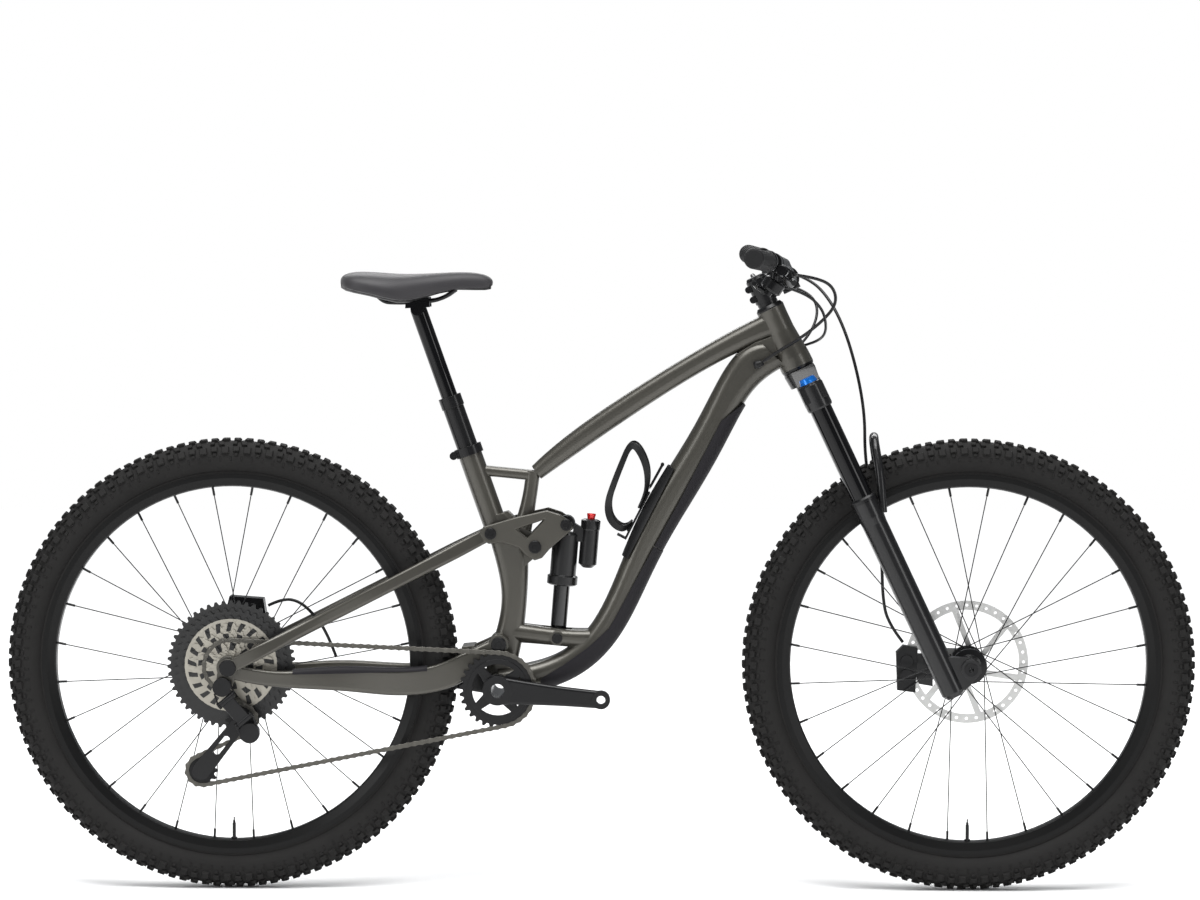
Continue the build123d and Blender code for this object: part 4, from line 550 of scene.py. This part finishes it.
# ---------------------------------------------------------------- grips
for side in (-1, 1):
    end, knee = mm(247, side * 390, 1042), mm(298, side * 110, 1029)
    way = (knee - end).normalized()
    grip = Builder()
    profile = [(-3, 0.5), (-3, 12.5), (-2.4, 14.6), (0, 15.6), (1.5, 16.2)]
    along = 3.0
    while along < 112:
        profile += [(along, 16.3), (along + 2.2, 16.3), (along + 2.6, 15.2), (along + 3.6, 15.2)]
        along += 4.0
    profile += [(116, 16.3), (119, 16.3), (119.5, 15.0), (119.5, 11.3)]
    grip.lathe(end, way, profile, 48)
    name = "right" if side < 0 else "left"
    thing = grip.make(name + "_grip", "grip_rubber", "fork_upper", replaced=["grips"])
    clamp = Builder()
    clamp.lathe(end, way, [(119.8, 11.4), (119.8, 16.8), (120.6, 17.5), (127.2, 17.5), (128, 16.8),
                           (128, 11.4)], 48)
    clamp.lathe(end + way * 0.124 - UP * 0.0165 + Vector((-0.004, 0, 0)), (1, 0, 0),
                [(-4, 2.6), (-4, 2.9), (5, 2.9), (5, 2.6)], 16)
    clamp.make(name + "_grip_clamp", "black_metal", "fork_upper")

# ---------------------------------------------------------------- saddle
SADDLE = [  # x, top, edge, half width
    (-425, 1004, 1000, 14), (-422.5, 1009.5, 996, 38), (-414, 1014.5, 991.5, 55), (-400, 1017, 988, 65),
    (-375, 1016.5, 983, 71), (-350, 1014.6, 976.5, 71), (-330, 1013.4, 972, 66), (-312, 1013.2, 972, 58),
    (-290, 1013.9, 977, 46), (-262, 1015.2, 985, 33), (-231, 1016.3, 991, 24.5), (-205, 1015.4, 990.5, 20.5),
    (-188, 1012, 990.5, 17.5), (-179, 1007, 992, 13.5), (-175.5, 1001.5, 996, 6)]


def saddle_rings(inset, sink):
    rings = []
    for x, top, edge, half in SADDLE:
        half, high, low = half * inset, top - sink, edge - sink * 0.3
        channel = 2.6 * max(0.0, 1 - ((x + 340) / 95) ** 2)
        ring = []
        steps = 28
        for k in range(steps + 1):
            t = -pi / 2 + pi * k / steps
            y = half * abs(sin(t)) ** 0.86 * (1 if t > 0 else -1)
            z = low + (high - low) * abs(cos(t)) ** 0.62
            ring.append(mm(x, y, z - channel * max(0.0, 1 - (y / 11) ** 2) ** 2))
        for share, drop in ((0.9, -3.0), (0.7, 2.0), (0.0, 4.0), (-0.7, 2.0), (-0.9, -3.0)):
            ring.append(mm(x, half * share, low + drop * min(1, half / 30)))
        rings.append(ring)
    return rings


cover = Builder()
cover.rings(saddle_rings(1.0, 0))
saddle = cover.make("saddle_cover", "saddle_cover", "saddle", smooth=True, replaced=["saddle"])
subdivide = saddle.modifiers.new("smooth", "SUBSURF")
subdivide.levels = subdivide.render_levels = 2

shell = Builder()
rings = []
for x, top, edge, half in SADDLE[1:-1]:
    drop = 5.5 if x < -300 else 4.0
    outer = half * 0.93
    rings.append([mm(x, outer * a, edge + b) for a, b in (
        (-1, 3), (-0.98, -1.5), (-0.85, -drop), (-0.4, -drop + 3), (0.4, -drop + 3), (0.85, -drop),
        (0.98, -1.5), (1, 3), (0.5, 8), (-0.5, 8))])
shell.rings(rings)
shell.make("saddle_shell", "black_plastic", "saddle", smooth=True, slot="black_plastic")

# ---------------------------------------------------------------- bottle cage
DOOR_TOP, DOOR_LOW = mm(112, 0, 700), mm(36, 0, 552)
DOOR_ALONG = (DOOR_LOW - DOOR_TOP).normalized()
DOOR_OUT = Vector((DOOR_ALONG.z, 0, -DOOR_ALONG.x))
CAGE_BASE, BOTTLE_AXIS = 5.2, 45.2
CAGE_LOOP = [  # along the door, out from it, sideways; the loop that holds one side of the bottle
    (84, 10.2, 8), (66, 10.2, 12), (44, 15, 23), (20, 28, 34), (2, 48, 38.4), (-6, 66, 32), (6, 71, 28),
    (30, 69, 30), (62, 66, 32.4), (98, 61, 35), (120, 47, 38.4), (128, 28, 34), (124, 13, 20), (112, 10.2, 8)]


def door(along, out, y=0.0):
    return DOOR_TOP + (DOOR_ALONG * along + DOOR_OUT * out + SIDE * y) * MM


def ribbon(builder, line, hub, axis, width, thick):
    """A flat band along a line, its face turned away from the axis through hub."""
    rings = []
    for i, point in enumerate(line):
        ahead = (line[min(i + 1, len(line) - 1)] - line[max(i - 1, 0)]).normalized()
        away = point - hub
        away -= axis * away.dot(axis)
        away = (away - ahead * away.dot(ahead)).normalized()
        across = ahead.cross(away)
        rings.append([point + (across * a * width / 2 + away * b * thick / 2) * MM for a, b in (
            (-1, -0.5), (-0.86, -1), (0.86, -1), (1, -0.5), (1, 0.5), (0.86, 1), (-0.86, 1), (-1, 0.5))])
    builder.rings(rings)


cage = Builder()
for side in (-1, 1):
    route = [door(along, out, side * y) / MM for along, out, y in CAGE_LOOP]
    line = centreline("cage_line", route)
    ribbon(cage, line, door(0, BOTTLE_AXIS), DOOR_ALONG, 11, 3)
for low, high, half, thick in ((54, 140, 10, 3.4), (138, 141, 12, 17)):
    rings = []
    for along in (low, high):
        rings.append([door(along, CAGE_BASE + out, y) for y, out in (
            (-half, 0), (half, 0), (half, thick - 0.8), (half - 1.2, thick), (1.2 - half, thick),
            (-half, thick - 0.8))])
    cage.rings(rings)
for along in (70, 124):
    cage.lathe(door(along, CAGE_BASE + 3.4), DOOR_OUT,
               [(0, 4.6), (1.6, 4.4), (2.4, 3.2), (2.4, 1.6), (0.8, 1.6)], 20)
cage.make("bottle_cage_loops", "black_plastic", "storage_door", smooth=False, replaced=["bottle_cage"])

# ---------------------------------------------------------------- bolt faces
PIVOT_HEADS = [  # place seen from the side, distance out, head radius, body
    (-105.4, 567.1, 43.5, 10.5, "frame"), (-165, 406.6, 43.5, 12.5, "frame"),
    (-69.7, 416, 31.2, 8.5, "frame"), (-178.4, 588.8, 43, 9.5, "rocker"), (-54.3, 603.5, 43, 9.5, "rocker")]
FACE_SIDES = 48


def socket_face(builder, centre, way, radius, across):
    """A raised rim round a hexagonal socket, on the face of a bolt's head."""
    u = way.orthogonal().normalized()
    v = way.cross(u)
    rings = []
    for share, lift, six in ((1.0, 0, False), (1.0, 0.4, False), (0.93, 0.9, False), (1.06, 0.9, True),
                             (1.0, 0.6, True), (1.0, 0.05, True)):
        ring = []
        for k in range(FACE_SIDES):
            angle = 2 * pi * k / FACE_SIDES
            reach = across / cos(angle % (pi / 3) - pi / 6) if six else radius
            ring.append(centre + (u * cos(angle) + v * sin(angle)) * reach * share * MM + way * lift * MM)
        rings.append(ring)
    builder.rings(rings, caps=False)


for body in ("frame", "rocker"):
    faces = Builder()
    for x, z, out, radius, owner in PIVOT_HEADS:
        if owner == body:
            for side in (-1, 1):
                socket_face(faces, mm(x, side * out, z), SIDE * side, radius - 0.5, radius * 0.42)
    faces.make(body + "_bolt_faces", "black_metal", body)

# ---------------------------------------------------------------- cable ports
for name, place in (("rear_brake", (259, -29.5, 866)), ("shift", (262, 30.5, 872)),
                    ("dropper", (262, 29.5, 850))):
    port = Builder()
    outward = 0.14 if place[1] > 0 else -0.14
    port.lathe(mm(*place), (0.93, outward, 0.3), [(-7, 5.4), (-2, 6.6), (6, 5.0), (9, 3.0)], 20)
    port.make(name + "_port", "black_plastic", "frame", smooth=True)
